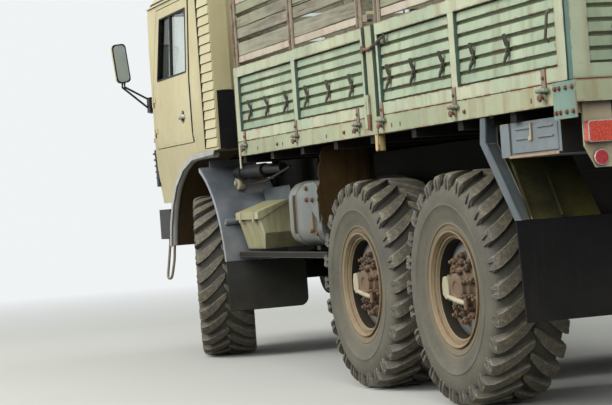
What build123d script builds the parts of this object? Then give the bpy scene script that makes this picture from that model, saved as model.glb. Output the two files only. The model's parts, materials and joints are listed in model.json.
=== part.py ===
from build123d import *
import os
from math import cos, hypot, radians, sin

os.makedirs("parts", exist_ok=True)

# Military cargo truck: three driven axles, tilting cab over the engine, drop-side bed with a rack.
# Millimetres. +X forward, +Y left, +Z up. The origin is on the ground, midway along the length.

# Whole vehicle
overall_length = 7650
body_width = 2500
front_overhang = 1320
wheelbase = 3340
bogie_base = 1320
track = 2010
seat_gap = 0.3
cab_length = 1660
cab_setback = 160
cab_gap = 855
tail_clearance = 105
front_x = overall_length / 2
rear_x = -overall_length / 2
half_width = body_width / 2
cab_front = front_x - cab_setback
cab_back = cab_front - cab_length
bed_front = cab_back - cab_gap
bed_rear = rear_x + tail_clearance

# Wheels
tyre_diameter = 1200
tyre_width = 400
lug_count = 26
lug_height = 28
lug_share = 0.56
bead_diameter = 533
rim_width = 356
rim_wall = 8
flange_height = 30
disc_thick = 14
hub_radius = 145
hub_length = 170
stub_radius = 60
drum_radius = 205
drum_length = 130
axle_z = tyre_diameter / 2
wheel_y = track / 2
front_axle_x = front_x - front_overhang
middle_axle_x = front_axle_x - wheelbase
rear_axle_x = middle_axle_x - bogie_base
bead_radius = bead_diameter / 2
trunnion_x = (middle_axle_x + rear_axle_x) / 2
transfer_x = front_axle_x - 1655
parked_steer = -17

# Frame
frame_width = 865
rail_height = 220
rail_top = 1150
rail_flange = 80
rail_wall = 8
bumper_depth = 110
bumper_height = 235
bumper_bottom = 885
bumper_half_width = 1200
bumper_return = 560
bumper_wall = 10
frame_half = frame_width / 2
rail_bottom = rail_top - rail_height
rail_front = front_x - bumper_depth - 15
rail_rear = rear_x + 135
rail_nose_top = rail_top - 90

# Bed
front_board_length = 2460
floor_top = 1530
floor_thick = 40
sill_height = 95
sill_width = 60
sill_overhang = 65
board_height = 495
board_thick = 40
board_gap = 8
board_rail = 64
panel_depth = 28
ridge_height = 10
ridge_count = 6
rack_height = 452
post_width = 182
post_face = 96
bed_length = bed_front - bed_rear
post_front = bed_front - front_board_length
post_middle = post_front - post_width / 2
rear_board_front = post_front - post_width - board_gap
board_bottom = floor_top + 4
board_top = board_bottom + board_height
sill_bottom = floor_top - sill_height
beam_height = 100
beam_count = 9
bearer_top = floor_top - floor_thick - beam_height
hinge_z = floor_top - 25
side_hinge_y = half_width + 18
tail_hinge_x = bed_rear - sill_overhang - 15
hinge_radius = 10
hinge_half = 20
hinge_leaf = 25
strap_thick = 6
front_hinges = (bed_front - 169, bed_front - 1237, post_front + 141)
rear_hinges = (rear_board_front - 39, rear_board_front - 1012, bed_rear + 227)
tail_hinges = (-half_width + 300, 0, half_width - 300)

# Cab
cab_width = 2480
cab_wall = 45
cab_floor_bottom = 1530
cab_floor_thick = 50
cab_skirt_bottom = 1170
cab_waist = 2050
cab_roof = 2880
roof_depth = 170
cab_half = cab_width / 2
cab_skirt_half = cab_half - 80
cab_eave_half = cab_half - 35
eave_z = cab_roof - roof_depth
side_crease = cab_waist - 400
corner_radius = 276
back_corner_radius = 70
cab_floor_top = cab_floor_bottom + cab_floor_thick
tilt_x = cab_front - 120
tilt_z = rail_top + 10

pin_radius = 15
arm_y = frame_half + 8
arm_thick = 30

# Doors
door_gap = 6
door_back = cab_back + 320
door_front = cab_front - 300
door_bottom = cab_floor_bottom + 68
door_top = eave_z - 45
door_top_front = door_front - 140
window_back = door_back + 60
window_front = door_front - 230
window_bottom = cab_waist + 70
window_top = door_top - 75
handle_x = door_back + 218
handle_z = cab_waist - 254
handle_radius = 50
glass_thick = 6
door_hinge_x = door_front + door_gap / 2
door_hinge_y = cab_half + 9
door_barrel = 8
door_barrel_height = 34
door_depth = cab_half - 240
door_hinge_levels = (door_bottom + 122, cab_waist - 90)


def block(x0, x1, y0, y1, z0, z1, mode=Mode.ADD):
    """Box between two corners, inside the open part."""
    with Locations(((x0 + x1) / 2, (y0 + y1) / 2, (z0 + z1) / 2)):
        Box(x1 - x0, y1 - y0, z1 - z0, mode=mode)


def prism(points, plane, depth, mode=Mode.ADD, both=False):
    """Closed outline drawn on a plane and extruded by a depth."""
    with BuildSketch(plane) as outline:
        with BuildLine():
            Polyline(*points, close=True)
        make_face()
    extrude(outline.sketch, amount=depth, both=both, mode=mode)


def rod(start, end, radius, mode=Mode.ADD):
    """Round bar from one point to another."""
    axis = Vector(*end) - Vector(*start)
    with BuildSketch(Plane(origin=start, z_dir=axis)) as section:
        Circle(radius)
    extrude(section.sketch, amount=axis.length, mode=mode)


def save(builder, name):
    """Label a finished piece and write it."""
    builder.part.label = name
    export_step(builder.part, f"parts/{name}.step")


# Frame: two channel rails joined by crossmembers
crossmember_x = (rail_rear + 40, rear_axle_x - 445, rear_axle_x + 195, trunnion_x, middle_axle_x - 195,
                 middle_axle_x + 535, transfer_x - 600, transfer_x, transfer_x + 440, tilt_x - 45)
with BuildPart() as frame_rails:
    block(rail_rear, rail_front, frame_half - rail_flange, frame_half, rail_bottom, rail_top)
    block(rail_rear, rail_front, frame_half - rail_flange, frame_half - rail_wall,
          rail_bottom + rail_wall, rail_top - rail_wall, Mode.SUBTRACT)
    block(tilt_x + 45, rail_front, 0, frame_half, rail_nose_top, rail_top, Mode.SUBTRACT)
    mirror(about=Plane.XZ)
    for member_x in crossmember_x:
        block(member_x - 40, member_x + 40, -frame_half + rail_wall / 2, frame_half - rail_wall / 2,
              rail_bottom + 30, rail_top - 30)
    for side in (-1, 1):
        block(tilt_x - 35, tilt_x + 35, *sorted((side * (frame_half - 40), side * frame_half)),
              rail_top, tilt_z + pin_radius + 12)
        rod((tilt_x, side * (frame_half - 20), tilt_z), (tilt_x, side * (arm_y + arm_thick + 6), tilt_z),
            pin_radius)
        block(cab_back + 35, cab_back + 95, *sorted((side * (frame_half - 52), side * (frame_half - 2))),
              rail_top, cab_floor_bottom - seat_gap)
save(frame_rails, "frame_rails")

# Bumper: pressed channel wrapped round the front corners, with brackets and towing eyes
tow_eye_y = frame_half - 45
tow_eye_radius = 22
tow_eye_z = bumper_bottom - 45
tow_eye_thick = 40
tow_pin_x = front_x - 55
lamp_y = 850
lamp_z = bumper_bottom + bumper_height / 2
lamp_radius = 95
bumper_top = bumper_bottom + bumper_height
bumper_corner = 250
with BuildPart() as front_bumper:
    for inset, mode in ((0, Mode.ADD), (bumper_wall, Mode.SUBTRACT)):
        with BuildSketch(Plane.XY.offset(bumper_bottom + inset)) as plan:
            with Locations((front_x - bumper_return - inset * 2, 0)):
                Rectangle(bumper_return * 2 + inset * 2, (bumper_half_width - inset) * 2)
            fillet(plan.vertices().group_by(Axis.X)[-1], bumper_corner - inset)
        extrude(plan.sketch, amount=bumper_height - inset * 2, mode=mode)
    with BuildSketch(Plane.XY.offset(bumper_bottom - 1)) as middle:
        with Locations((front_x - bumper_depth - bumper_return, 0)):
            Rectangle(bumper_return * 2, (bumper_half_width - bumper_depth / 2) * 2)
        fillet(middle.vertices().group_by(Axis.X)[-1], bumper_corner - bumper_depth / 2)
    extrude(middle.sketch, amount=bumper_height + 2, mode=Mode.SUBTRACT)
    block(-front_x, front_x - bumper_return, -half_width, half_width, 0, bumper_top + 1, Mode.SUBTRACT)
    for side in (-1, 1):
        block(rail_front, front_x - bumper_wall, side * tow_eye_y - 35, side * tow_eye_y + 35,
              bumper_bottom + bumper_wall, bumper_top - bumper_wall)
        tow_eye = (
            (rail_front, bumper_bottom + 20), (rail_front, tow_eye_z - 20),
            (rail_front + 30, tow_eye_z - 45), (front_x - 30, tow_eye_z - 45),
            (front_x - 5, tow_eye_z - 20), (front_x - 5, bumper_bottom + 20),
        )
        prism(tow_eye, Plane.XZ.offset(-side * tow_eye_y - tow_eye_thick / 2), tow_eye_thick)
        rod((tow_pin_x, side * tow_eye_y - 40, tow_eye_z), (tow_pin_x, side * tow_eye_y + 40, tow_eye_z),
            tow_eye_radius, Mode.SUBTRACT)
        rod((front_x - 60, side * lamp_y, lamp_z), (front_x + 5, side * lamp_y, lamp_z),
            lamp_radius, Mode.SUBTRACT)
save(front_bumper, "front_bumper")

# Entry stirrups under the bumper returns
step_tube = 14
step_y = bumper_half_width - 25
step_drop = 305
step_back = front_x - 530
step_front = front_x - 335
with BuildPart() as cab_steps:
    with BuildLine() as hoop:
        FilletPolyline((step_back, step_y, bumper_bottom), (step_back, step_y, bumper_bottom - step_drop),
                       (step_front, step_y, bumper_bottom - step_drop), (step_front, step_y, bumper_bottom),
                       radius=45)
    with BuildSketch(Plane(origin=(step_back, step_y, bumper_bottom), z_dir=(0, 0, -1))) as tube:
        Circle(step_tube)
    sweep(tube.sketch, path=hoop.line)
    mirror(about=Plane.XZ)
save(cab_steps, "cab_steps")

# Headlamps in the bumper, tail lamps and reflectors on the rear sill
tail_lamp_x = rear_x + 50
tail_lamp_y = half_width - 120
tail_lamp_z = sill_bottom - 128
tail_lamp_width = 140
tail_lamp_depth = 45
lamp_plate_x = tail_lamp_x + tail_lamp_depth
reflector_z = tail_lamp_z - 112
with BuildPart() as lamps:
    for side in (-1, 1):
        rod((front_x - bumper_depth + 20, side * lamp_y, lamp_z), (front_x - 6, side * lamp_y, lamp_z),
            lamp_radius - seat_gap)
        with BuildSketch(Plane.YZ.offset(tail_lamp_x)) as lens:
            with Locations((side * tail_lamp_y, tail_lamp_z)):
                RectangleRounded(tail_lamp_width, 94, 14)
        extrude(lens.sketch, amount=tail_lamp_depth)
        rod((lamp_plate_x - 17, side * tail_lamp_y, reflector_z),
            (lamp_plate_x, side * tail_lamp_y, reflector_z), 35)
save(lamps, "lamps")

# Engine, gearbox and radiator as one plain mass
engine_half = 330
engine_bottom = 850
engine_top = 1490
with BuildPart() as engine:
    block(front_axle_x - 440, front_axle_x + 660, -engine_half, engine_half, engine_bottom, engine_top)
    block(front_axle_x - 1150, front_axle_x - 440, -170, 170, engine_bottom, 1130)
    block(front_axle_x + 700, front_axle_x + 790, -engine_half, engine_half, engine_bottom + 60, engine_top)
    block(front_axle_x + 650, front_axle_x + 710, -120, 120, 1050, 1200)
    for mount_x in (-250, 450):
        block(front_axle_x + mount_x, front_axle_x + mount_x + 120, -frame_half + 15, frame_half - 15,
              rail_top, rail_top + 40)
save(engine, "engine")

# Transfer case under its crossmember, and the shafts to the axles
shaft_radius = 45
diff_radius = 205
with BuildPart() as propshafts:
    block(transfer_x - 200, transfer_x + 200, -180, 180, 640, rail_bottom + 30)
    rod((transfer_x + 190, 0, 690), (front_axle_x - diff_radius + 25, 0, axle_z + 40), shaft_radius)
    rod((transfer_x - 190, 0, 690), (middle_axle_x + diff_radius - 25, 0, axle_z + 60), shaft_radius)
    rod((middle_axle_x - diff_radius + 25, 0, axle_z + 60), (rear_axle_x + diff_radius - 25, 0, axle_z + 60),
        shaft_radius)
    for axle_x in (front_axle_x, middle_axle_x, rear_axle_x):
        rod((axle_x, -diff_radius, axle_z), (axle_x, diff_radius, axle_z), diff_radius + seat_gap,
            Mode.SUBTRACT)
    rod((transfer_x + 190, 0, 905), (front_axle_x - 1150, 0, 905), shaft_radius)
save(propshafts, "propshafts")

# Front axle with its kingpin bosses
kingpin_y = 800
boss_radius = 58
boss_half = 80
tube_radius = 75
front_spring_y = frame_half - 45
spring_width = 90
spring_seat_z = axle_z + 90
with BuildPart() as front_axle:
    rod((front_axle_x, -kingpin_y, axle_z), (front_axle_x, kingpin_y, axle_z), tube_radius)
    rod((front_axle_x, -diff_radius, axle_z), (front_axle_x, diff_radius, axle_z), diff_radius)
    for side in (-1, 1):
        block(front_axle_x - tube_radius - 1, front_axle_x + tube_radius + 1, side * kingpin_y - boss_radius,
              side * kingpin_y + tube_radius + 1, axle_z - 100, axle_z + 100, Mode.SUBTRACT)
        rod((front_axle_x, side * kingpin_y, axle_z - boss_half),
            (front_axle_x, side * kingpin_y, axle_z + boss_half), boss_radius)
        rod((front_axle_x, side * (kingpin_y - 80), axle_z), (front_axle_x, side * kingpin_y, axle_z), 40)
        block(front_axle_x - 90, front_axle_x + 90, side * front_spring_y - spring_width / 2,
              side * front_spring_y + spring_width / 2, axle_z, spring_seat_z)
save(front_axle, "front_axle")

# Steering knuckles, turned as parked
lug_plate = 40
knuckle_flange = 110
with BuildPart() as knuckle_blank:
    for sign in (-1, 1):
        low, high = sorted((sign * (boss_half + seat_gap), sign * (boss_half + lug_plate)))
        rod((0, 0, low), (0, 0, high), boss_radius)
        block(-45, 45, 0, boss_radius + 50, low, high)
    block(-60, 60, boss_radius + 8, boss_radius + 50, -boss_half - lug_plate, boss_half + lug_plate)
    rod((0, boss_radius + 40, 0), (0, boss_radius + 65, 0), knuckle_flange)
    rod((0, boss_radius + 60, 0), (0, wheel_y - kingpin_y + hub_length / 2 - 40, 0), stub_radius)
for name, side in (("knuckle_left", 1), ("knuckle_right", -1)):
    turn = parked_steer if side > 0 else parked_steer + 180
    with BuildPart() as knuckle:
        with Locations(Location((front_axle_x, side * kingpin_y, axle_z), (0, 0, turn))):
            add(knuckle_blank.part)
    save(knuckle, name)

# Driven axles of the bogie with their stub ends
with BuildPart() as rear_axles:
    for axle_x in (middle_axle_x, rear_axle_x):
        rod((axle_x, -wheel_y + 150, axle_z), (axle_x, wheel_y - 150, axle_z), tube_radius + 10)
        rod((axle_x, -diff_radius, axle_z), (axle_x, diff_radius, axle_z), diff_radius)
        reach = wheel_y + hub_length / 2 - 40
        rod((axle_x, -reach, axle_z), (axle_x, reach, axle_z), stub_radius)
save(rear_axles, "rear_axles")

# Leaf springs: semi-elliptic at the front, a balance pair on a trunnion at the rear
front_spring_half = 640
front_spring_rise = 62
front_leaves = 7
rear_spring_y = 520
rear_spring_half = bogie_base / 2
rear_leaves = 8
leaf_thick = 13
leaf_overlap = 1
trunnion_z = 715
rear_pad_z = axle_z + tube_radius + 10 + 12
rear_spring_rise = 80
front_pack_top = spring_seat_z + front_leaves * leaf_thick + leaf_overlap
rear_pack_low = rear_pad_z + leaf_thick + rear_spring_rise
rear_pack_top = rear_pack_low + (rear_leaves - 1) * leaf_thick


def leaf(centre_x, top_z, half_length, rise, spring_y):
    """One arched leaf, with its top at the middle and its ends higher by the rise."""
    with BuildSketch(Plane.XZ.offset(-spring_y - spring_width / 2)) as profile:
        with BuildLine():
            upper = ThreePointArc((centre_x - half_length, top_z + rise), (centre_x, top_z),
                                  (centre_x + half_length, top_z + rise))
            Line(upper @ 1, (centre_x + half_length, top_z + rise - leaf_thick - leaf_overlap))
            lower = ThreePointArc((centre_x + half_length, top_z + rise - leaf_thick - leaf_overlap),
                                  (centre_x, top_z - leaf_thick - leaf_overlap),
                                  (centre_x - half_length, top_z + rise - leaf_thick - leaf_overlap))
            Line(lower @ 1, upper @ 0)
        make_face()
    extrude(profile.sketch, amount=spring_width)


with BuildPart() as leaf_springs:
    for index in range(front_leaves):
        share = 1 - index / (front_leaves + 1)
        leaf(front_axle_x, front_pack_top - index * leaf_thick, front_spring_half * share,
             front_spring_rise * share ** 2, front_spring_y)
    for end in (-1, 1):
        end_x = front_axle_x + end * (front_spring_half - 30)
        block(end_x - 45, end_x + 45, front_spring_y - spring_width / 2, front_spring_y + spring_width / 2,
              front_pack_top + front_spring_rise * 0.8 - leaf_thick, rail_bottom)
    for index in range(rear_leaves):
        share = 1 - index / (rear_leaves + 1)
        leaf(trunnion_x, rear_pack_low + index * leaf_thick, rear_spring_half * share,
             -rear_spring_rise * share ** 2, rear_spring_y)
    rod((trunnion_x, frame_half - 60, trunnion_z), (trunnion_x, rear_spring_y + 80, trunnion_z), 55)
    block(trunnion_x - 130, trunnion_x + 130, frame_half - 60, frame_half, trunnion_z - 70, rail_bottom)
    block(trunnion_x - 75, trunnion_x + 75, rear_spring_y - spring_width / 2 - 8,
          rear_spring_y + spring_width / 2 + 8, trunnion_z - 60, rear_pack_top + 18)
    for axle_x in (middle_axle_x, rear_axle_x):
        block(axle_x - 60, axle_x + 60, rear_spring_y - spring_width / 2, rear_spring_y + spring_width / 2,
              axle_z + 40, rear_pad_z + 8)
        rod((axle_x, 0, axle_z), (axle_x, wheel_y, axle_z), tube_radius + 10 + seat_gap, Mode.SUBTRACT)
    mirror(about=Plane.XZ)
save(leaf_springs, "leaf_springs")

# Wheel: lugged tyre, and rim with disc, hub and brake drum, axis along Y, outboard to +Y
lug_angle = radians(360 / lug_count)
lug_half = lug_angle * lug_share / 2
tip_radius = tyre_diameter / 2 / cos(lug_half)
tread_floor = tyre_diameter / 2 - lug_height
tread_line = []
for index in range(lug_count):
    for turn, radius in ((-1.2, tread_floor), (-1, tip_radius), (1, tip_radius), (1.2, tread_floor)):
        angle = index * lug_angle + turn * lug_half - radians(90)
        tread_line.append((radius * cos(angle), radius * sin(angle)))
side_bore = bead_radius + flange_height + 4
bead_half = rim_width / 2 - rim_wall - 1
with BuildPart() as tyre_blank:
    prism(tread_line, Plane.XZ.offset(-tyre_width / 2), tyre_width)
    with BuildSketch(Plane.XZ.offset(-tyre_width / 2)) as side_opening:
        RegularPolygon(side_bore, lug_count, major_radius=False)
    extrude(side_opening.sketch, amount=tyre_width, mode=Mode.SUBTRACT)
    with BuildSketch(Plane.XZ.offset(-bead_half)) as bead:
        RegularPolygon(side_bore + 5, lug_count, major_radius=False)
        RegularPolygon(bead_radius + seat_gap, lug_count, major_radius=False, mode=Mode.SUBTRACT)
    extrude(bead.sketch, amount=bead_half * 2)

rim_inner = bead_radius - rim_wall
rim_edge = rim_width / 2
flange_radius = bead_radius + flange_height
hub_face = hub_length / 2 + 25
hub_back = hub_face - hub_length
hub_bore = stub_radius + seat_gap
disc_back = 20
disc_face = disc_back + disc_thick
dish = 12
rim_outlines = (
    # barrel with the stepped seat of its lock ring
    ((rim_inner, -rim_edge), (rim_inner, rim_edge - 60), (rim_inner - 8, rim_edge - 45),
     (rim_inner - 8, rim_edge - 30), (rim_inner + 4, rim_edge - 22), (rim_inner + 4, rim_edge),
     (bead_radius, rim_edge), (bead_radius, -rim_edge)),
    # outer flange, inner flange
    ((rim_inner, rim_edge - rim_wall), (flange_radius, rim_edge - rim_wall), (flange_radius, rim_edge - 2),
     (flange_radius - 6, rim_edge), (rim_inner + 6, rim_edge)),
    ((rim_inner, -rim_edge), (flange_radius, -rim_edge), (flange_radius, -rim_edge + rim_wall),
     (rim_inner, -rim_edge + rim_wall)),
    # dished disc
    ((hub_radius - 10, disc_back), (drum_radius - 15, disc_back), (rim_inner - 20, disc_back + dish),
     (rim_inner + 1, disc_back + dish), (rim_inner + 1, disc_face + dish), (rim_inner - 24, disc_face + dish),
     (drum_radius - 19, disc_face), (hub_radius - 10, disc_face)),
    # hub, stepped to its cap
    ((hub_bore, hub_back), (hub_radius, hub_back), (hub_radius, disc_face + 8),
     (hub_radius - 8, disc_face + 14), (hub_radius - 30, disc_face + 18), (hub_radius - 36, hub_face - 28),
     (hub_radius - 42, hub_face - 24), (hub_radius - 65, hub_face - 24), (hub_radius - 70, hub_face),
     (0, hub_face), (0, hub_face - 40), (hub_bore, hub_face - 40)),
    # brake drum
    ((hub_radius - 5, 6), (drum_radius - 18, 6),
     (drum_radius - 18, -drum_length), (drum_radius, -drum_length),
     (drum_radius, 7), (drum_radius - 10, disc_back + 0.5), (hub_radius - 5, disc_back + 0.5)),
)
with BuildPart() as rim_blank:
    with BuildSketch() as section:
        for outline in rim_outlines:
            with BuildLine():
                Polyline(*outline, close=True)
            make_face()
    revolve(section.sketch, axis=Axis.Y)

wheel_table = (
    # name, x, side, turned as parked
    ("front_left", front_axle_x, 1, True),
    ("front_right", front_axle_x, -1, True),
    ("middle_left", middle_axle_x, 1, False),
    ("middle_right", middle_axle_x, -1, False),
    ("rear_left", rear_axle_x, 1, False),
    ("rear_right", rear_axle_x, -1, False),
)
for name, axle_x, side, steered in wheel_table:
    turn = 0 if side > 0 else 180
    place_x, place_y = axle_x, side * wheel_y
    if steered:
        turn = turn + parked_steer
        arm = wheel_y - kingpin_y
        place_x = axle_x - side * arm * sin(radians(parked_steer))
        place_y = side * kingpin_y + side * arm * cos(radians(parked_steer))
    where = Location((place_x, place_y, axle_z), (0, 0, turn))
    with BuildPart() as tyre:
        with Locations(where):
            add(tyre_blank.part)
    save(tyre, f"tyre_{name}")
    with BuildPart() as rim:
        with Locations(where):
            add(rim_blank.part)
    save(rim, f"rim_{name}")

# Spare wheel standing behind the cab on its carrier
spare_x = bed_front + 275
spare_y = -250
spare_beam = 30
carrier_height = 50
spare_z = rail_top + carrier_height + seat_gap + tyre_diameter / 2
spare_place = Location((spare_x, spare_y, spare_z), (0, 0, 90))
with BuildPart() as spare_tyre:
    with Locations(spare_place):
        add(tyre_blank.part)
save(spare_tyre, "spare_tyre")
with BuildPart() as spare_rim:
    with Locations(spare_place):
        add(rim_blank.part)
save(spare_rim, "spare_rim")
with BuildPart() as spare_carrier:
    for carrier_x in (spare_x - 120, spare_x + 120):
        block(carrier_x - spare_beam, carrier_x + spare_beam, -frame_half - 260, frame_half,
              rail_top, rail_top + carrier_height)
save(spare_carrier, "spare_carrier")

# Fuel tanks: a short one on the left, a long one on the right, each held by two straps on arms
guard_board_x = middle_axle_x + 635
tank_back = guard_board_x + 60
tank_top = 1225
tank_bottom = 820
tank_outer = half_width - 100
tank_inner = 520
tank_corner = 110
strap_width = 60
tank_table = (
    # side, length
    (1, 605),
    (-1, 1140),
)
with BuildPart() as fuel_tanks:
    for side, tank_length in tank_table:
        tank_front = tank_back + tank_length
        bands = [(tank_back, tank_length, 0)]
        bands += [(strap_x, strap_width, strap_thick) for strap_x in (tank_back + 90, tank_front - 150)]
        for band_x, band_length, proud in bands:
            with BuildSketch(Plane.YZ.offset(band_x)) as tank_section:
                with Locations((side * (tank_outer + tank_inner) / 2, (tank_top + tank_bottom) / 2)):
                    RectangleRounded(tank_outer - tank_inner + proud * 2, tank_top - tank_bottom + proud * 2,
                                     tank_corner + proud)
            extrude(tank_section.sketch, amount=band_length)
            if proud:
                block(band_x, band_x + strap_width, *sorted((side * frame_half, side * (tank_outer - 140))),
                      tank_bottom - 35, tank_bottom + 15)
                block(band_x, band_x + strap_width, *sorted((side * frame_half, side * (frame_half + 50))),
                      tank_bottom - 35, rail_bottom + 90)
save(fuel_tanks, "fuel_tanks")

# Battery box with a sloping lid and a cut corner
box_back = front_axle_x - 1370
box_length = 500
box_front = box_back + box_length
box_bottom = 800
box_top = 1120
box_edge_z = 1050
box_inner = 560
box_cut = 110
lid_thick = 8
lid_lip = 45
with BuildPart() as battery_box:
    prism(((box_inner, box_bottom), (tank_outer - 70, box_bottom), (tank_outer, box_edge_z),
           (tank_outer - 220, box_top), (box_inner, box_top)), Plane.YZ.offset(box_back), box_length)
    prism(((box_inner, box_top - 5), (tank_outer - 225, box_top - 5), (tank_outer - 15, box_edge_z - lid_lip),
           (tank_outer + lid_thick, box_edge_z - lid_lip), (tank_outer + lid_thick, box_edge_z + 4),
           (tank_outer - 218, box_top + lid_thick), (box_inner, box_top + lid_thick)),
          Plane.YZ.offset(box_back - lid_thick), box_length + lid_thick * 2)
    prism(((box_back - 1, box_bottom - 1), (box_back + box_cut, box_bottom - 1),
           (box_back - 1, box_bottom + box_cut)), Plane.XZ, half_width, Mode.SUBTRACT, both=True)
    block(box_back + 40, box_front - 40, frame_half, box_inner + 20, rail_bottom + 10, rail_top - 60)
save(battery_box, "battery_box")

# Air cleaner drum behind the cab, and the pipe along the left side
drum_x = cab_back - 175
drum_y = 600
drum_radius_out = 140
pipe_z = 1340
pipe_y = half_width - 210
pipe_radius = 45
pipe_sleeve = bed_front + 100
with BuildPart() as air_pipes:
    rod((drum_x, drum_y, rail_top + 50), (drum_x, drum_y, cab_floor_bottom - 30), drum_radius_out)
    block(drum_x - 80, drum_x + 80, frame_half - rail_flange, drum_y + 60, rail_top, rail_top + 60)
    rod((drum_x, drum_y, pipe_z), (drum_x, pipe_y, pipe_z), pipe_radius)
    rod((drum_x + pipe_radius, pipe_y, pipe_z), (pipe_sleeve, pipe_y, pipe_z), pipe_radius)
    rod((drum_x - 60, pipe_y, pipe_z), (drum_x - 115, pipe_y, pipe_z), pipe_radius + 6)
    rod((pipe_sleeve + 10, pipe_y, pipe_z), (bed_front - 285, pipe_y, pipe_z), pipe_radius - 15)
save(air_pipes, "air_pipes")

# Mudguards fixed to the chassis: rear halves of the front pair, and the pair behind the rear wheels
guard_wall = 8
guard_inner = 780
front_guard_radius = 850
stay_radius = 22
stay_angle = 27
guard_lip = 25
guard_outer = half_width - 5
rear_flange = 60
guard_stay_radius = 9
rear_guard_points = (
    # x, z from the floor down to the flap
    (rear_axle_x - 610, sill_bottom - 5),
    (rear_axle_x - 590, sill_bottom - 125),
    (rear_axle_x - 915, 940),
)
with BuildPart() as mudguards:
    lip_radius = front_guard_radius - guard_lip
    for inner_radius, near_y in ((front_guard_radius, guard_inner), (lip_radius, guard_outer - guard_wall)):
        with BuildSketch(Plane.XZ.offset(-guard_outer)) as arc_band:
            with Locations((front_axle_x, axle_z)):
                Circle(front_guard_radius + guard_wall)
                Circle(inner_radius, mode=Mode.SUBTRACT)
        extrude(arc_band.sketch, amount=guard_outer - near_y)
    block(0, front_x, 0, half_width, -tyre_diameter, axle_z + 119, Mode.SUBTRACT)
    block(front_axle_x - 305, front_x, 0, half_width, 0, rail_top * 2, Mode.SUBTRACT)
    stay_reach = front_guard_radius + guard_wall + stay_radius - 3
    stay_x = front_axle_x - stay_reach * cos(radians(stay_angle))
    stay_z = axle_z + stay_reach * sin(radians(stay_angle))
    rod((stay_x, frame_half, stay_z), (stay_x, half_width - 40, stay_z), stay_radius)
    (x0, z0), (x1, z1), (x2, z2) = rear_guard_points
    for depth, near_y in ((guard_wall, guard_inner + 20), (rear_flange, guard_outer - 5 - guard_wall)):
        prism(((x0, z0), (x1, z1), (x2, z2), (x2 - depth, z2), (x1 - depth - 4, z1), (x0 - depth, z0)),
              Plane.XZ.offset(-guard_outer + 5), guard_outer - 5 - near_y)
    rear_bar_z = sill_bottom - 40
    block(x0 - 45, x0 - 5, frame_half, half_width - 60, rear_bar_z, sill_bottom)
    for guard_stay_y in (half_width - 90, half_width - 250):
        rod((x2 - 12, guard_stay_y, z2 + 8), (x0 - 30, guard_stay_y, rear_bar_z + 10), guard_stay_radius)
    mirror(about=Plane.XZ)
save(mudguards, "mudguards")

# Rubber flaps behind the front and rear wheels
flap_thick = 10
front_flap_x = front_axle_x - front_guard_radius - flap_thick
front_flap_bottom = 370
flap_corner = 60
rear_flap_drop = 470
rear_flap_lean = 40
rear_flap_width = 600
with BuildPart() as mudflaps:
    with BuildSketch(Plane.YZ.offset(front_flap_x)) as flap:
        with Locations(((guard_inner - 120 + guard_outer) / 2, (front_flap_bottom + axle_z + 119) / 2)):
            Rectangle(guard_outer - guard_inner + 120, axle_z + 119 - front_flap_bottom)
        fillet(flap.vertices().group_by(Axis.X)[0], flap_corner)
    extrude(flap.sketch, amount=flap_thick)
    prism(((x2, z2), (x2 - flap_thick, z2), (x2 - flap_thick - rear_flap_lean, z2 - rear_flap_drop),
           (x2 - rear_flap_lean, z2 - rear_flap_drop)), Plane.XZ.offset(-guard_outer + 7), rear_flap_width)
    mirror(about=Plane.XZ)
save(mudflaps, "mudflaps")

# Splash boards ahead of the bogie
guard_board_thick = 25
guard_board_bottom = 870
with BuildPart() as guard_boards:
    block(guard_board_x, guard_board_x + guard_board_thick, guard_inner + 20, half_width - 20,
          guard_board_bottom, sill_bottom)
    mirror(about=Plane.XZ)
save(guard_boards, "guard_boards")

# Tool box under the left rear of the bed, with pressed ribs on its door
toolbox_back = bed_rear + 215
toolbox_length = 510
toolbox_depth = 500
toolbox_bottom = 1225
toolbox_face = half_width - 50
door_margin = 22
press_height = 10
with BuildPart() as toolbox:
    block(toolbox_back, toolbox_back + toolbox_length, toolbox_face - toolbox_depth, toolbox_face - 6,
          toolbox_bottom, bearer_top)
    block(toolbox_back + door_margin, toolbox_back + toolbox_length - door_margin,
          toolbox_face - 7, toolbox_face, toolbox_bottom + door_margin, bearer_top - door_margin)
    for rib_x in (toolbox_back + 60, toolbox_back + 290):
        for rib_z in (toolbox_bottom + 82, toolbox_bottom + 128):
            block(rib_x, rib_x + 150, toolbox_face - 1, toolbox_face + 7, rib_z, rib_z + press_height)
    block(toolbox_back, toolbox_back + toolbox_length, toolbox_face - 7, toolbox_face + 10,
          toolbox_bottom, toolbox_bottom + 14)
save(toolbox, "toolbox")

# Rear towing hook block with an upright pin bore
hitch_radius = 21
hitch_z = 880
with BuildPart() as tow_hitch:
    block(rear_x + 60, rail_rear, -90, 90, hitch_z - 75, hitch_z + 75)
    block(rear_x, rear_x + 70, -70, 70, hitch_z - 75, hitch_z - 35)
    block(rear_x, rear_x + 70, -70, 70, hitch_z + 35, hitch_z + 75)
    rod((rear_x + 35, 0, hitch_z - 80), (rear_x + 35, 0, hitch_z + 80), hitch_radius, Mode.SUBTRACT)
    block(rail_rear, rail_rear + 30, -150, 150, hitch_z - 75, rail_bottom + 30)
save(tow_hitch, "tow_hitch")

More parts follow.
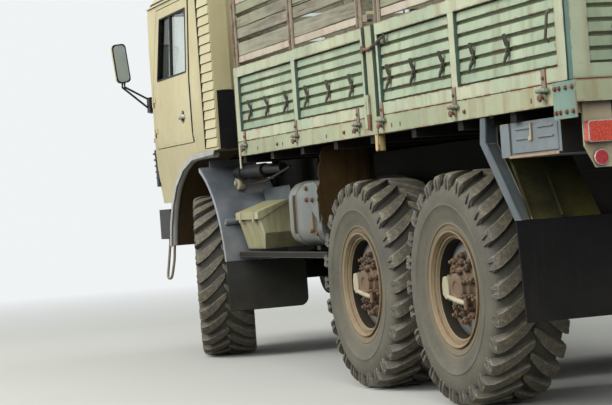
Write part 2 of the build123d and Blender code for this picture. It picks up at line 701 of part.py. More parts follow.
# Bed frame: bearers on the rails, cross beams, outer sills, lamp plates and centre posts with sockets below
post_recess = 24
socket_radius = 28
socket_drop = 90
corner_plate = 5
lamp_plate_bottom = reflector_z - 42
lamp_plate_half = tail_lamp_width / 2
with BuildPart() as bed_frame:
    block(bed_rear, bed_front, frame_half - rail_flange, frame_half, rail_top, bearer_top)
    block(bed_rear - sill_overhang, bed_front, half_width - sill_width, half_width, sill_bottom, floor_top)
    block(post_front - post_width, post_front, half_width - board_thick, half_width - post_recess,
          floor_top - 1, board_top)
    block(post_middle - post_face / 2, post_middle + post_face / 2, half_width - board_thick, half_width,
          floor_top - 1, board_top)
    rod((post_middle, half_width - socket_radius - 2, sill_bottom - socket_drop),
        (post_middle, half_width - socket_radius - 2, sill_bottom + 10), socket_radius)
    lamp_plate = (
        (tail_lamp_y - lamp_plate_half, lamp_plate_bottom), (tail_lamp_y + 20, lamp_plate_bottom),
        (tail_lamp_y + lamp_plate_half, tail_lamp_z - 60), (tail_lamp_y + lamp_plate_half, sill_bottom + 20),
        (tail_lamp_y - lamp_plate_half, sill_bottom + 20),
    )
    prism(lamp_plate, Plane.YZ.offset(lamp_plate_x), 12)
    block(bed_rear - sill_overhang, bed_rear + 145, half_width - 1, half_width + corner_plate,
          sill_bottom - 65, floor_top)
    mirror(about=Plane.XZ)
    spacing = (bed_length - 60) / (beam_count - 1)
    for index in range(beam_count):
        beam_x = bed_rear + index * spacing
        block(beam_x, beam_x + 60, -half_width + 30, half_width - 30, bearer_top, floor_top - floor_thick)
    block(bed_rear - sill_overhang, bed_rear - sill_overhang + 60, -half_width + 10, half_width - 10,
          sill_bottom, floor_top)
    for side in (-1, 1):
        for hinge_x in (*front_hinges, *rear_hinges):
            for offset in (-hinge_half - hinge_leaf, hinge_half):
                hinge_low = hinge_x + offset
                rod((hinge_low, side * side_hinge_y, hinge_z),
                    (hinge_low + hinge_leaf, side * side_hinge_y, hinge_z), hinge_radius)
                block(hinge_low, hinge_low + hinge_leaf, *sorted((side * half_width, side * side_hinge_y)),
                      hinge_z - hinge_radius, hinge_z)
    for hinge_y in tail_hinges:
        for offset in (-hinge_half - hinge_leaf, hinge_half):
            hinge_low = hinge_y + offset
            rod((tail_hinge_x, hinge_low, hinge_z), (tail_hinge_x, hinge_low + hinge_leaf, hinge_z),
                hinge_radius)
            block(tail_hinge_x, bed_rear - sill_overhang, hinge_low, hinge_low + hinge_leaf,
                  hinge_z - hinge_radius, hinge_z)
save(bed_frame, "bed_frame")

# Plank floor
with BuildPart() as bed_floor:
    block(bed_rear - sill_overhang + 60, bed_front - board_thick,
          -half_width + sill_width, half_width - sill_width, floor_top - floor_thick, floor_top)
save(bed_floor, "bed_floor")

# Headboard with its rack, standing on the front beam against the floor
plank_thick = 25
stanchion_thick = 18
rack_bottom = board_top + 29
plank_table = (
    # bottom, top, above the board
    (0, 42),
    (42, 132),
    (157, 302),
    (327, 392),
    (392, 452),
)
inner_half = half_width - board_thick - 5


def panel_section(outer, inward):
    """Rails above and below a ridged panel: depth across the board, then height."""
    rail_low, rail_high = board_bottom + board_rail, board_top - board_rail
    pitch = (rail_high - rail_low) / ridge_count
    valley = outer + inward * panel_depth
    points = [(outer, board_bottom), (outer, rail_low), (valley, rail_low)]
    for index in range(ridge_count):
        low = rail_low + index * pitch
        points += [(valley, low + pitch * 0.12), (valley - inward * ridge_height, low + pitch * 0.2),
                   (valley - inward * ridge_height * 0.6, low + pitch * 0.88), (valley, low + pitch * 0.96)]
    points += [(valley, rail_high), (outer, rail_high), (outer, board_top)]
    return points + [(outer + inward * board_thick, board_top), (outer + inward * board_thick, board_bottom)]


with BuildPart() as headboard:
    block(bed_front - board_thick, bed_front, -half_width + sill_width, half_width - sill_width,
          floor_top - floor_thick, board_bottom)
    prism(panel_section(bed_front, -1), Plane.XZ, inner_half, both=True)
    for low, high in plank_table:
        block(bed_front - plank_thick, bed_front, -inner_half, inner_half,
              rack_bottom + low, rack_bottom + high)
    for stanchion_y in (-inner_half + 30, -400, 400, inner_half - 30):
        block(bed_front - plank_thick - stanchion_thick, bed_front - plank_thick,
              stanchion_y - 30, stanchion_y + 30, board_top - 40, rack_bottom + rack_height)
save(headboard, "headboard")

# Drop sides: rails, ridged panel and upright ribs, with the slatted racks that stand on them
rib_width = 70
end_rib = 85
board_table = (
    # name, front end, rear end, ribs as front edge and width, stanchions, hinges
    ("front", bed_front, post_front + board_gap,
     ((bed_front, end_rib), (bed_front - 1210, rib_width), (post_front + board_gap + 30, 30)),
     (bed_front - 65, bed_front - 1235, post_front + 45), front_hinges),
    ("rear", rear_board_front, bed_rear + board_gap,
     ((rear_board_front, 30), (rear_board_front - 985, rib_width), (bed_rear + board_gap + end_rib, end_rib)),
     (rear_board_front - 40, rear_board_front - 1020, bed_rear + 65), rear_hinges),
)
strap_height = board_rail
for end_name, front_end, rear_end, ribs, stanchions, hinges in board_table:
    for side_name, side in (("left", 1), ("right", -1)):
        outer_y = side * half_width
        inner_y = side * (half_width - board_thick)
        with BuildPart() as board:
            prism(panel_section(outer_y, -side), Plane.YZ.offset(rear_end), front_end - rear_end)
            for rib_front, width in ribs:
                block(rib_front - width, rib_front, *sorted((outer_y - side, inner_y)),
                      board_bottom, board_top)
            strap_y = side * (half_width + seat_gap)
            for hinge_x in hinges:
                low, high = hinge_x - hinge_half + seat_gap, hinge_x + hinge_half - seat_gap
                rod((low, side * side_hinge_y, hinge_z), (high, side * side_hinge_y, hinge_z), hinge_radius)
                block(low, high, *sorted((strap_y, side * (half_width + strap_thick))), hinge_z,
                      board_bottom + strap_height)
                block(low, high, *sorted((strap_y, side * side_hinge_y)), hinge_z, hinge_z + hinge_radius)
                block(low, high, *sorted((outer_y, strap_y)),
                      board_bottom, board_bottom + strap_height)
        save(board, f"board_{side_name}_{end_name}")
        with BuildPart() as rack:
            plank_y = outer_y - side * stanchion_thick
            for low, high in plank_table:
                block(rear_end, front_end, *sorted((plank_y, plank_y - side * plank_thick)),
                      rack_bottom + low, rack_bottom + high)
            for stanchion_x in stanchions:
                block(stanchion_x - 30, stanchion_x + 30, *sorted((outer_y, plank_y)),
                      board_top, rack_bottom + rack_height)
        save(rack, f"rack_{side_name}_{end_name}")

# Tailgate, ridged and ribbed like the sides
gate_half = half_width - 5
with BuildPart() as tailgate:
    gate_face = bed_rear - board_thick
    prism(panel_section(gate_face, 1), Plane.XZ, gate_half, both=True)
    for rib_y, width in ((-gate_half, end_rib), (-half_width / 3, rib_width),
                         (half_width / 3 - rib_width, rib_width), (gate_half - end_rib, end_rib)):
        block(gate_face + 1, bed_rear, rib_y, rib_y + width, board_bottom, board_top)
    for hinge_y in tail_hinges:
        low, high = hinge_y - hinge_half + seat_gap, hinge_y + hinge_half - seat_gap
        rod((tail_hinge_x, low, hinge_z), (tail_hinge_x, high, hinge_z), hinge_radius)
        block(tail_hinge_x - hinge_radius, tail_hinge_x, low, high, hinge_z, board_bottom + strap_thick)
        block(tail_hinge_x - hinge_radius, gate_face, low, high, board_bottom, board_bottom + strap_thick)
        block(gate_face - strap_thick, gate_face, low, high, board_bottom, board_bottom + strap_height)
save(tailgate, "tailgate")

# Cab body: three outlines cross to give the outer form, and again smaller for the room inside
fender_points = (
    # x, z along the top of the wheel arch, front to rear
    (front_axle_x + 713, 834),
    (front_axle_x + 663, 1000),
    (front_axle_x + 565, cab_skirt_bottom),
    (front_axle_x + 415, 1320),
    (front_axle_x + 175, 1440),
    (front_axle_x - 105, 1505),
    (cab_back - 205, 1512),
)


def cab_form(inset, floor_z):
    """Cab outline with every face moved inward by the inset."""
    side_profile = (
        (cab_back + inset, floor_z), (cab_back + inset, cab_roof - 70 - inset),
        (cab_back + 120, cab_roof - inset), (cab_front - 335, cab_roof - inset),
        (cab_front - 185 - inset, cab_roof - 90 - inset * 0.5),
        (cab_front - inset, cab_waist), (cab_front - inset, floor_z),
    )
    half_profile = (
        (cab_skirt_half - inset, cab_skirt_bottom - 10), (cab_half - inset, side_crease),
        (cab_half - inset, cab_waist), (cab_eave_half - inset, eave_z),
        (cab_eave_half - inset - 90, cab_roof - 40 - inset), (cab_eave_half - inset - 260, cab_roof - inset),
    )
    front_profile = (*half_profile, *((-y, z) for y, z in reversed(half_profile)))
    with BuildPart() as form:
        prism(side_profile, Plane.XZ, cab_half + 20, both=True)
        prism(front_profile, Plane.YZ, overall_length, Mode.INTERSECT)
        with BuildSketch(Plane.XY.offset(cab_skirt_bottom - 20)) as plan:
            with Locations(((cab_back + cab_front) / 2, 0)):
                Rectangle(cab_front - cab_back - inset * 2, cab_half * 2 - inset * 2)
            fillet(plan.vertices().group_by(Axis.X)[-1], corner_radius - inset)
            fillet(plan.vertices().group_by(Axis.X)[0], back_corner_radius - inset / 2)
        extrude(plan.sketch, amount=cab_roof - cab_skirt_bottom + 100, mode=Mode.INTERSECT)
    return form.part


def door_prism(grow, depth_from, side):
    """Door outline grown by the gap, from the middle of the cab outward."""
    outline = (
        (door_back - grow, door_bottom - grow), (door_front + grow, door_bottom - grow),
        (door_front + grow, cab_waist + 60 + grow * 0.3), (door_top_front + grow, door_top + grow),
        (door_back - grow, door_top + grow),
    )
    with BuildPart() as shape:
        prism(outline, Plane.XZ.offset(-side * depth_from), -side * (cab_half - depth_from + 160))
    return shape.part


def window_prism(shrink, side):
    """Side window outline, reaching through the door."""
    outline = (
        (window_back + shrink, window_bottom + shrink), (window_front - shrink + 90, window_bottom + shrink),
        (window_front - shrink, window_top - shrink), (window_back + shrink, window_top - shrink),
    )
    with BuildPart() as shape:
        prism(outline, Plane.XZ.offset(-side * door_depth), -side * (cab_half - door_depth + 160))
    return shape.part


outer_form = cab_form(0, cab_skirt_bottom)
inner_form = cab_form(cab_wall, cab_floor_top)
skirt_form = cab_form(cab_wall, cab_skirt_bottom - 20)
screen_bottom = cab_waist + 40
screen_top = eave_z - 20
screen_half = cab_half - 200
screen_post = 30
back_low = cab_waist + 100
back_high = eave_z - 150
back_near = 250
back_far = 850
grille_half = cab_half / 2
grille_low = cab_skirt_bottom + 120
grille_high = side_crease - 150
gutter = 12
visor_half = cab_half - 190
visor_thick = 6
with BuildPart() as gutter_ring:
    add(cab_form(-gutter, cab_skirt_bottom))
    for low, high in ((cab_skirt_bottom - 50, eave_z - gutter / 2), (eave_z + gutter / 2, cab_roof + 50)):
        block(cab_back - 50, cab_front + 50, -cab_half - 50, cab_half + 50, low, high, Mode.SUBTRACT)
    block(cab_back - 50, cab_back + gutter, -cab_half - 50, cab_half + 50, cab_skirt_bottom, cab_roof,
          Mode.SUBTRACT)
with BuildPart() as cab_shell:
    add(outer_form)
    add(gutter_ring.part)
    arch_front = fender_points[2][0]
    arch_cut = (
        (arch_front, cab_skirt_bottom - 10), *fender_points[2:], (fender_points[-1][0], cab_skirt_bottom - 10)
    )
    prism(arch_cut, Plane.XZ, cab_half + 20, Mode.SUBTRACT, both=True)
    sun_visor = (
        (cab_front - 165, eave_z + 45), (cab_front - 165, eave_z + 45 - visor_thick),
        (cab_front - 10, eave_z - 12), (cab_front + 10, eave_z - 42), (cab_front + 15, eave_z - 38),
        (cab_front - 4, eave_z - 5), (cab_front - 60, eave_z + 27), (cab_front - 200, eave_z + 62),
        (cab_front - 200, eave_z + 45),
    )
    prism(sun_visor, Plane.XZ, visor_half, both=True)
    add(inner_form, mode=Mode.SUBTRACT)
    with BuildPart(mode=Mode.PRIVATE) as below:
        add(skirt_form)
        block(cab_back, cab_front, -cab_half, cab_half, cab_floor_bottom, cab_roof, Mode.SUBTRACT)
    add(below.part, mode=Mode.SUBTRACT)
    block(cab_back - 10, arch_front, -cab_half + 190, cab_half - 190, cab_skirt_bottom - 10,
          cab_floor_bottom, Mode.SUBTRACT)
    for side in (-1, 1):
        add(door_prism(door_gap, door_depth, side), mode=Mode.SUBTRACT)
        block(cab_front - 400, cab_front + 10, *sorted((side * screen_post, side * screen_half)),
              screen_bottom, screen_top, Mode.SUBTRACT)
        block(cab_back - 10, cab_back + cab_wall + 10, *sorted((side * back_near, side * back_far)),
              back_low, back_high, Mode.SUBTRACT)
    block(cab_front - 100, cab_front + 10, -grille_half, grille_half, grille_low, grille_high, Mode.SUBTRACT)
    for side in (-1, 1):
        near, far = sorted((side * arm_y, side * (arm_y + arm_thick)))
        block(tilt_x - 28, tilt_x + 28, near, far, tilt_z, cab_floor_bottom)
        rod((tilt_x, near, tilt_z), (tilt_x, far, tilt_z), pin_radius + 13)
        rod((tilt_x, near, tilt_z), (tilt_x, far, tilt_z), pin_radius + seat_gap, Mode.SUBTRACT)
        for level in door_hinge_levels:
            rod((door_hinge_x, side * door_hinge_y, level - door_barrel_height),
                (door_hinge_x, side * door_hinge_y, level - seat_gap), door_barrel)
            block(door_hinge_x, door_hinge_x + 24, *sorted((side * cab_half, side * (cab_half + 6))),
                  level - door_barrel_height, level - seat_gap)
            block(door_hinge_x - 10, door_front + door_gap,
                  *sorted((side * (cab_half - 20), side * (cab_half + 0.5))),
                  level - door_barrel_height - 1, level, Mode.SUBTRACT)
save(cab_shell, "cab_shell")

for side_name, side in (("left", 1), ("right", -1)):
    with BuildPart() as door:
        add(outer_form)
        add(inner_form, mode=Mode.SUBTRACT)
        add(door_prism(0, door_depth, side), mode=Mode.INTERSECT)
        add(window_prism(0, side), mode=Mode.SUBTRACT)
        for level in door_hinge_levels:
            rod((door_hinge_x, side * door_hinge_y, level),
                (door_hinge_x, side * door_hinge_y, level + door_barrel_height), door_barrel)
            block(door_hinge_x - 60, door_hinge_x, *sorted((side * (cab_half + 0.8), side * (cab_half + 6))),
                  level, level + door_barrel_height)
            block(door_hinge_x - 60, door_front, *sorted((side * cab_half, side * (cab_half + 1))),
                  level, level + door_barrel_height)
        rod((handle_x, side * (cab_half - 16), handle_z), (handle_x, side * (cab_half + 5), handle_z),
            handle_radius, Mode.SUBTRACT)
        block(handle_x - handle_radius - 12, handle_x + handle_radius + 12,
              *sorted((side * (cab_half - 4), side * (cab_half + 12))), handle_z - 10, handle_z + 10)
    save(door, f"door_{side_name}")
    with BuildPart() as door_glass:
        add(cab_form(cab_wall * 0.4, cab_floor_top))
        add(cab_form(cab_wall * 0.4 + glass_thick, cab_floor_top), mode=Mode.SUBTRACT)
        add(window_prism(seat_gap, side), mode=Mode.INTERSECT)
    save(door_glass, f"door_glass_{side_name}")

# Windscreen panes and back windows
with BuildPart() as cab_glass:
    with BuildPart(mode=Mode.PRIVATE) as panes:
        for side in (-1, 1):
            block(cab_front - 400, cab_front + 10,
                  *sorted((side * (screen_post + seat_gap), side * (screen_half - seat_gap))),
                  screen_bottom + seat_gap, screen_top - seat_gap)
            block(cab_back - 10, cab_back + 100,
                  *sorted((side * (back_near + seat_gap), side * (back_far - seat_gap))),
                  back_low + seat_gap, back_high - seat_gap)
    add(cab_form(cab_wall * 0.4, cab_floor_top))
    add(cab_form(cab_wall * 0.4 + glass_thick, cab_floor_top), mode=Mode.SUBTRACT)
    add(panes.part, mode=Mode.INTERSECT)
save(cab_glass, "cab_glass")

# Radiator grille in the front panel
slat_count = 6
slat_width = 20
with BuildPart() as front_grille:
    grille_bottom = grille_low + seat_gap
    grille_top = grille_high - seat_gap
    block(cab_front - 40, cab_front - 8, -grille_half + seat_gap, grille_half - seat_gap,
          grille_bottom, grille_top)
    pitch = (grille_top - grille_bottom - slat_width) / slat_count
    for index in range(slat_count):
        low = grille_bottom + slat_width + index * pitch
        block(cab_front - 50, cab_front, -grille_half + 30, grille_half - 30, low, low + pitch - slat_width,
              Mode.SUBTRACT)
save(front_grille, "front_grille")

# Grey front fenders with a deep outer lip, which tilt with the cab
fender_wall = 12
fender_lip = 42
fender_inner = 900
fender_outer = cab_half - 4


def fender_band(depth, near_y):
    """Strip under the arch line, from the outer face inward."""
    inner_line = []
    for x, z in fender_points:
        away = hypot(x - front_axle_x, z - axle_z)
        inner_line.append((x - (x - front_axle_x) / away * depth, z - (z - axle_z) / away * depth))
    prism((*fender_points, *reversed(inner_line)), Plane.XZ.offset(-fender_outer), fender_outer - near_y)


with BuildPart() as front_fenders:
    fender_band(fender_wall, fender_inner)
    fender_band(fender_lip, fender_outer - fender_wall)
    mirror(about=Plane.XZ)
save(front_fenders, "front_fenders")

# Louvred air intake behind the cab on the left, on a boot below
duct_back = cab_back - 300
duct_bottom = fender_points[-1][1]
duct_step = cab_waist - 120
duct_top = cab_roof - 60
duct_face = cab_half - 12
duct_depth = 140
gill_pitch = 67
with BuildPart() as intake_duct:
    block(duct_back, cab_back, cab_half - duct_depth, duct_face, duct_step, duct_top)
    block(duct_back, cab_back, duct_face - 48, duct_face, duct_bottom, duct_step)
    block(duct_back + 12, cab_back, cab_half - duct_depth + 6, duct_face - 40, duct_bottom, duct_step)
    gill_count = int((duct_top - duct_bottom - 20) / gill_pitch)
    for index in range(gill_count):
        low = duct_bottom + 18 + index * gill_pitch
        high = low + gill_pitch - 5
        prism(((duct_face - 1, low), (cab_half - 2, low + 3), (duct_face + 3, high), (duct_face - 1, high)),
              Plane.YZ.offset(duct_back + 6), cab_back - duct_back - 12)
save(intake_duct, "intake_duct")

# Outside mirrors on bent arms
mirror_x = cab_front + 50
mirror_y = cab_half + 170
mirror_width = 153
mirror_height = 330
mirror_z = cab_waist + 265
mirror_depth = 45
arm_radius = 10
with BuildPart() as mirrors:
    with BuildSketch(Plane.YZ.offset(mirror_x - 20)) as back:
        with Locations((mirror_y, mirror_z)):
            RectangleRounded(mirror_width, mirror_height, 42)
    extrude(back.sketch, amount=mirror_depth, taper=12)
    for arm_drop, foot_drop in ((105, 395), (-85, 325)):
        rod((mirror_x, mirror_y - 66, mirror_z - arm_drop),
            (cab_front - 60, cab_half - 50, mirror_z - foot_drop), arm_radius)
    block(cab_front - 150, cab_front - 30, cab_half - 130, cab_half - 30, mirror_z - 425, mirror_z - 295)
    add(outer_form, mode=Mode.SUBTRACT)
    mirror(about=Plane.XZ)
save(mirrors, "mirrors")

# Seats: two cushions and two backs
seat_x = cab_back + 415
seat_length = 480
driver_y = cab_half - 680
crew_y = 60 - driver_y
seat_z = cab_floor_top + 420
with BuildPart() as seats:
    for seat_y, seat_half in ((driver_y, 250), (crew_y, 380)):
        block(seat_x, seat_x + seat_length, seat_y - seat_half, seat_y + seat_half, cab_floor_top, seat_z)
        block(seat_x - 130, seat_x - seat_gap, seat_y - seat_half, seat_y + seat_half,
              cab_floor_top + 200, seat_z + 520)
save(seats, "seats")

# Dashboard with the steering wheel
wheel_place = (cab_front - 585, driver_y, cab_floor_top + 620)
wheel_radius = 230
wheel_grip = 16
dash_back = cab_front - 335
with BuildPart() as dashboard:
    block(dash_back, cab_front, -cab_half + 90, cab_half - 90, cab_floor_top + 250, cab_floor_top + 450)
    add(inner_form, mode=Mode.INTERSECT)
    rod((dash_back + 20, driver_y, cab_floor_top + 380), wheel_place, 22)
    with Locations(Location(wheel_place, (0, -45, 0))):
        Torus(wheel_radius, wheel_grip)
        Box(20, wheel_radius * 2 - 20, 12)
save(dashboard, "dashboard")
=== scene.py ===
import json
import random
from math import atan2, cos, pi, radians, sin
import bmesh
import bpy
from mathutils import Matrix, Quaternion, Vector
from mathutils.bvhtree import BVHTree


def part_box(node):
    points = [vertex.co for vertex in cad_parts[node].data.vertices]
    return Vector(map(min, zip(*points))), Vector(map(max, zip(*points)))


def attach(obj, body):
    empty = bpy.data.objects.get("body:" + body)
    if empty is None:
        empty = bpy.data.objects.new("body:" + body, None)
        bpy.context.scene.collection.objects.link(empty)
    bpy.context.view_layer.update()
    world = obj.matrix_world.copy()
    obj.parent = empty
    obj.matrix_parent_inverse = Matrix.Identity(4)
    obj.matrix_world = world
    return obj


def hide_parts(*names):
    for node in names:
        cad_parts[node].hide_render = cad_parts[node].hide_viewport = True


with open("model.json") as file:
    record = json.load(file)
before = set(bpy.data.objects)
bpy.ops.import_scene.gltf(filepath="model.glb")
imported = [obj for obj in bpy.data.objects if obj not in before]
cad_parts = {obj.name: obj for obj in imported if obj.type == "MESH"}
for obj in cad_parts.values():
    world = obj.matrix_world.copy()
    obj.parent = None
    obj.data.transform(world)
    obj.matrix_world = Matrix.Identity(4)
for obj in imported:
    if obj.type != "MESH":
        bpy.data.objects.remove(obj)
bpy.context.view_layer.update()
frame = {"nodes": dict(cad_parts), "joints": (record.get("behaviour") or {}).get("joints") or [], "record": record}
scene = bpy.context.scene
nodes = frame["nodes"]
record = frame["record"]
bodyOf = {node: body for body, names in record["behaviour"]["bodies"].items() for node in names}
sides = (("left", 1), ("right", -1))         # the left side is toward +Y
print("frame loaded:", len(nodes), "nodes")


# Shader helpers

def tone(red, green, blue):
    # sRGB 0 to 255, to the linear colour that the nodes take
    linear = []
    for level in (red / 255, green / 255, blue / 255):
        linear.append(level / 12.92 if level <= 0.04045 else ((level + 0.055) / 1.055) ** 2.4)
    return (*linear, 1)


def put(tree, kind, inputs=None, **settings):
    node = tree.nodes.new(kind)
    for key, value in settings.items():
        setattr(node, key, value)
    for key, value in (inputs or {}).items():
        if isinstance(value, bpy.types.NodeSocket):
            tree.links.new(value, node.inputs[key])
        else:
            node.inputs[key].default_value = value
    return node


def maths(tree, operation, first, second=0.0, clamp=False):
    return put(tree, "ShaderNodeMath", {0: first, 1: second}, operation=operation, use_clamp=clamp).outputs[0]


def times(tree, first, second, clamp=False):
    return maths(tree, "MULTIPLY", first, second, clamp)


def plus(tree, first, second):
    return maths(tree, "ADD", first, second)


def joinVectors(tree, first, second, operation="ADD"):
    return put(tree, "ShaderNodeVectorMath", {0: first, 1: second}, operation=operation).outputs[0]


def scaleVector(tree, vector, scale):
    return put(tree, "ShaderNodeVectorMath", {0: vector, "Scale": scale}, operation="SCALE").outputs[0]


def objectPlace(tree):
    return put(tree, "ShaderNodeTexCoord").outputs["Object"]


def ramp(tree, value, low, high, start=0.0, end=1.0):
    limits = {"Value": value, "From Min": low, "From Max": high, "To Min": start, "To Max": end}
    return put(tree, "ShaderNodeMapRange", limits, clamp=True).outputs[0]


def blendTone(tree, factor, first, second):
    return put(tree, "ShaderNodeMix", {0: factor, 6: first, 7: second}, data_type="RGBA").outputs[2]


def grainOf(tree, place, scale, detail=4.0, rough=0.55, stretch=(1, 1, 1), shift=0.0):
    moved = put(tree, "ShaderNodeMapping", {"Vector": place, "Scale": stretch,
                                            "Location": (shift, shift * 0.7, -shift)}).outputs[0]
    return put(tree, "ShaderNodeTexNoise", {"Vector": moved, "Scale": scale, "Detail": detail,
                                            "Roughness": rough}).outputs[0]


def startGroup(name, inputs, outputs=("Mask",)):
    # every input is a number, and so is every output but the one called Tone
    group = bpy.data.node_groups.new(name, "ShaderNodeTree")
    for title, value in inputs.items():
        group.interface.new_socket(title, in_out="INPUT", socket_type="NodeSocketFloat").default_value = value
    for title in outputs:
        kind = "NodeSocketColor" if title == "Tone" else "NodeSocketFloat"
        group.interface.new_socket(title, in_out="OUTPUT", socket_type=kind)
    return group, group.nodes.new("NodeGroupInput").outputs, group.nodes.new("NodeGroupOutput").inputs


def useGroup(tree, group, **inputs):
    return put(tree, "ShaderNodeGroup", inputs, node_tree=group).outputs


# Shared effects: noise of four sizes, edges for wear and painted highlight, painted shade and dirt in corners,
# dust, rust

def makeWeather():
    group, given, out = startGroup("weatherNoise", {"Size": 1.0, "Shift": 0.0},
                                   ("Broad", "Fine", "Streak", "Speck"))
    shift = put(group, "ShaderNodeCombineXYZ", {0: given["Shift"], 1: given["Shift"], 2: given["Shift"]})
    moved = joinVectors(group, objectPlace(group), shift.outputs[0])
    for title, scale, detail, stretch in (("Broad", 1.7, 4, (1, 1, 1)), ("Fine", 24, 6, (1, 1, 1)),
                                          ("Streak", 9, 4, (1, 1, 0.09)), ("Speck", 85, 3, (1, 1, 1))):
        stretched = put(group, "ShaderNodeMapping", {"Vector": moved, "Scale": stretch}).outputs[0]
        size = times(group, given["Size"], scale)
        grain = put(group, "ShaderNodeTexNoise", {"Vector": stretched, "Scale": size, "Detail": detail,
                                                  "Roughness": 0.6})
        group.links.new(grain.outputs[0], out[title])
    return group


def makeEdges():
    # edge mask: wear and rust on painted metal, a painted highlight on tyres and planks
    group, given, out = startGroup("wornEdges", {"Width": 0.012, "Breakup": 0.5})
    rounded = put(group, "ShaderNodeBevel", {"Radius": given["Width"]}, samples=4).outputs[0]
    flat = put(group, "ShaderNodeNewGeometry").outputs["Normal"]
    near = put(group, "ShaderNodeVectorMath", {0: rounded, 1: flat}, operation="DOT_PRODUCT").outputs["Value"]
    level = plus(group, grainOf(group, objectPlace(group), 14, 5), times(group, given["Breakup"], -0.35))
    worn = times(group, ramp(group, near, 0.995, 0.86), ramp(group, level, 0.2, 0.5))
    group.links.new(worn, out["Mask"])
    return group


def makeCornerShadeAndDirt():
    group, given, out = startGroup("cornerDirt", {"Reach": 0.05})
    # darkens where other surfaces hem the point in: painted shade, with a dirt tone
    around = put(group, "ShaderNodeAmbientOcclusion", {"Distance": given["Reach"]}, samples=4).outputs["AO"]
    patches = ramp(group, grainOf(group, objectPlace(group), 11, 5, 0.6), 0.3, 0.65, 0.55, 1.0)
    group.links.new(times(group, ramp(group, around, 0.82, 0.3), patches), out["Mask"])
    return group


def makeDust():
    group, given, out = startGroup("dustFilm", {"Amount": 0.5, "Top": 1.2, "Facing": 0.6})
    coords = put(group, "ShaderNodeTexCoord").outputs
    height, upward = (put(group, "ShaderNodeSeparateXYZ", {0: coords[way]}).outputs[2]
                      for way in ("Object", "Normal"))
    low = times(group, ramp(group, maths(group, "DIVIDE", height, given["Top"]), 1.0, 0.35), 0.75)
    lying = times(group, ramp(group, upward, 0.15, 0.9), given["Facing"])
    patches = ramp(group, grainOf(group, coords["Object"], 5, 6, 0.65), 0.3, 0.68, 0.35, 1.0)
    both = times(group, plus(group, low, lying), patches)
    group.links.new(times(group, both, given["Amount"], clamp=True), out["Mask"])
    return group


def makeRust():
    group, given, out = startGroup("rustSpots", {"Amount": 0.3, "Edge": 0.0, "Shift": 0.0}, ("Mask", "Tone"))
    shift = put(group, "ShaderNodeCombineXYZ", {0: given["Shift"], 2: given["Shift"]}).outputs[0]
    moved = joinVectors(group, objectPlace(group), shift)
    patch = grainOf(group, moved, 4.5, 8, 0.68)
    drip = grainOf(group, moved, 16, 4, 0.6, (1, 1, 0.14))
    level = plus(group, times(group, patch, 0.7), times(group, drip, 0.3))
    level = plus(group, level, times(group, given["Edge"], 0.3))
    bar = maths(group, "SUBTRACT", 0.86, times(group, given["Amount"], 0.45))
    group.links.new(ramp(group, level, bar, plus(group, bar, 0.07)), out["Mask"])
    scale = ramp(group, grainOf(group, moved, 40, 5, 0.7), 0.3, 0.7)
    group.links.new(blendTone(group, scale, tone(88, 48, 30), tone(158, 88, 56)), out["Tone"])
    return group


weatherGroup = makeWeather()
edgeGroup = makeEdges()
cornerShadeAndDirtGroup = makeCornerShadeAndDirt()
dustGroup = makeDust()
rustGroup = makeRust()


def startMaterial(name):
    material = bpy.data.materials.new(name)
    material.use_nodes = True
    return material, material.node_tree, material.node_tree.nodes["Principled BSDF"]


def closeMaterial(tree, shader, colour, rough, bump=None, **values):
    # bump is height, strength and distance; the other values are plain settings of the shader
    tree.links.new(colour, shader.inputs["Base Color"])
    tree.links.new(rough, shader.inputs["Roughness"])
    if bump:
        height, strength, distance = bump
        relief = put(tree, "ShaderNodeBump", {"Height": height, "Strength": strength, "Distance": distance})
        tree.links.new(relief.outputs[0], shader.inputs["Normal"])
    for title, value in values.items():
        shader.inputs[title.replace("_", " ")].default_value = value


def paintedMetal(name, look):
    material, tree, shader = startMaterial(name)
    weather = useGroup(tree, weatherGroup, Size=look["size"], Shift=look["shift"])
    edge = useGroup(tree, edgeGroup, Width=look["edgeWidth"], Breakup=0.5)[0]
    rust = useGroup(tree, rustGroup, Amount=look["rust"], Edge=times(tree, edge, look["edge"]),
                    Shift=look["shift"])
    dust = useGroup(tree, dustGroup, Amount=look["dust"], Top=look["dustTop"], Facing=look["facing"])[0]
    corner = useGroup(tree, cornerShadeAndDirtGroup, Reach=look["cornerReach"])[0]
    fine = weather["Fine"]
    colour = blendTone(tree, ramp(tree, weather["Broad"], 0.36, 0.64), look["paint"], look["faded"])
    streak = times(tree, ramp(tree, weather["Streak"], 0.5, 0.72), look["streak"])
    smears = times(tree, ramp(tree, fine, 0.55, 0.8), 0.25)
    # corner with the dirt tone is painted shade and dirt in corners
    for amount, upper in ((streak, look["grime"]), (smears, look["grime"]), (rust["Mask"], rust["Tone"]),
                          (dust, look["dustTone"]), (times(tree, corner, look["corner"]), look["dirt"])):
        colour = blendTone(tree, amount, colour, upper)
    rough = plus(tree, times(tree, fine, 0.16), look["rough"] - 0.08)
    dull = times(tree, maths(tree, "MAXIMUM", rust["Mask"], dust), 0.85)
    height = plus(tree, times(tree, fine, 0.5), times(tree, weather["Speck"], 0.3))
    height = plus(tree, height, times(tree, rust["Mask"], 0.8))
    closeMaterial(tree, shader, colour, maths(tree, "MAXIMUM", rough, dull), (height, look["bump"], 0.0015),
                  Metallic=look["metal"], Coat_Weight=look["coat"], Coat_Roughness=0.18,
                  Specular_IOR_Level=look["shine"])
    return material


def coated(paint, faded, grime, **others):
    # sRGB colours of the paint, its faded patches and the grime, then what differs from the plain look
    others.update(paint=paint, faded=faded, grime=grime)
    tones = {key: tone(*value) for key, value in others.items() if isinstance(value, tuple)}
    return {**plainLook, **others, **tones}
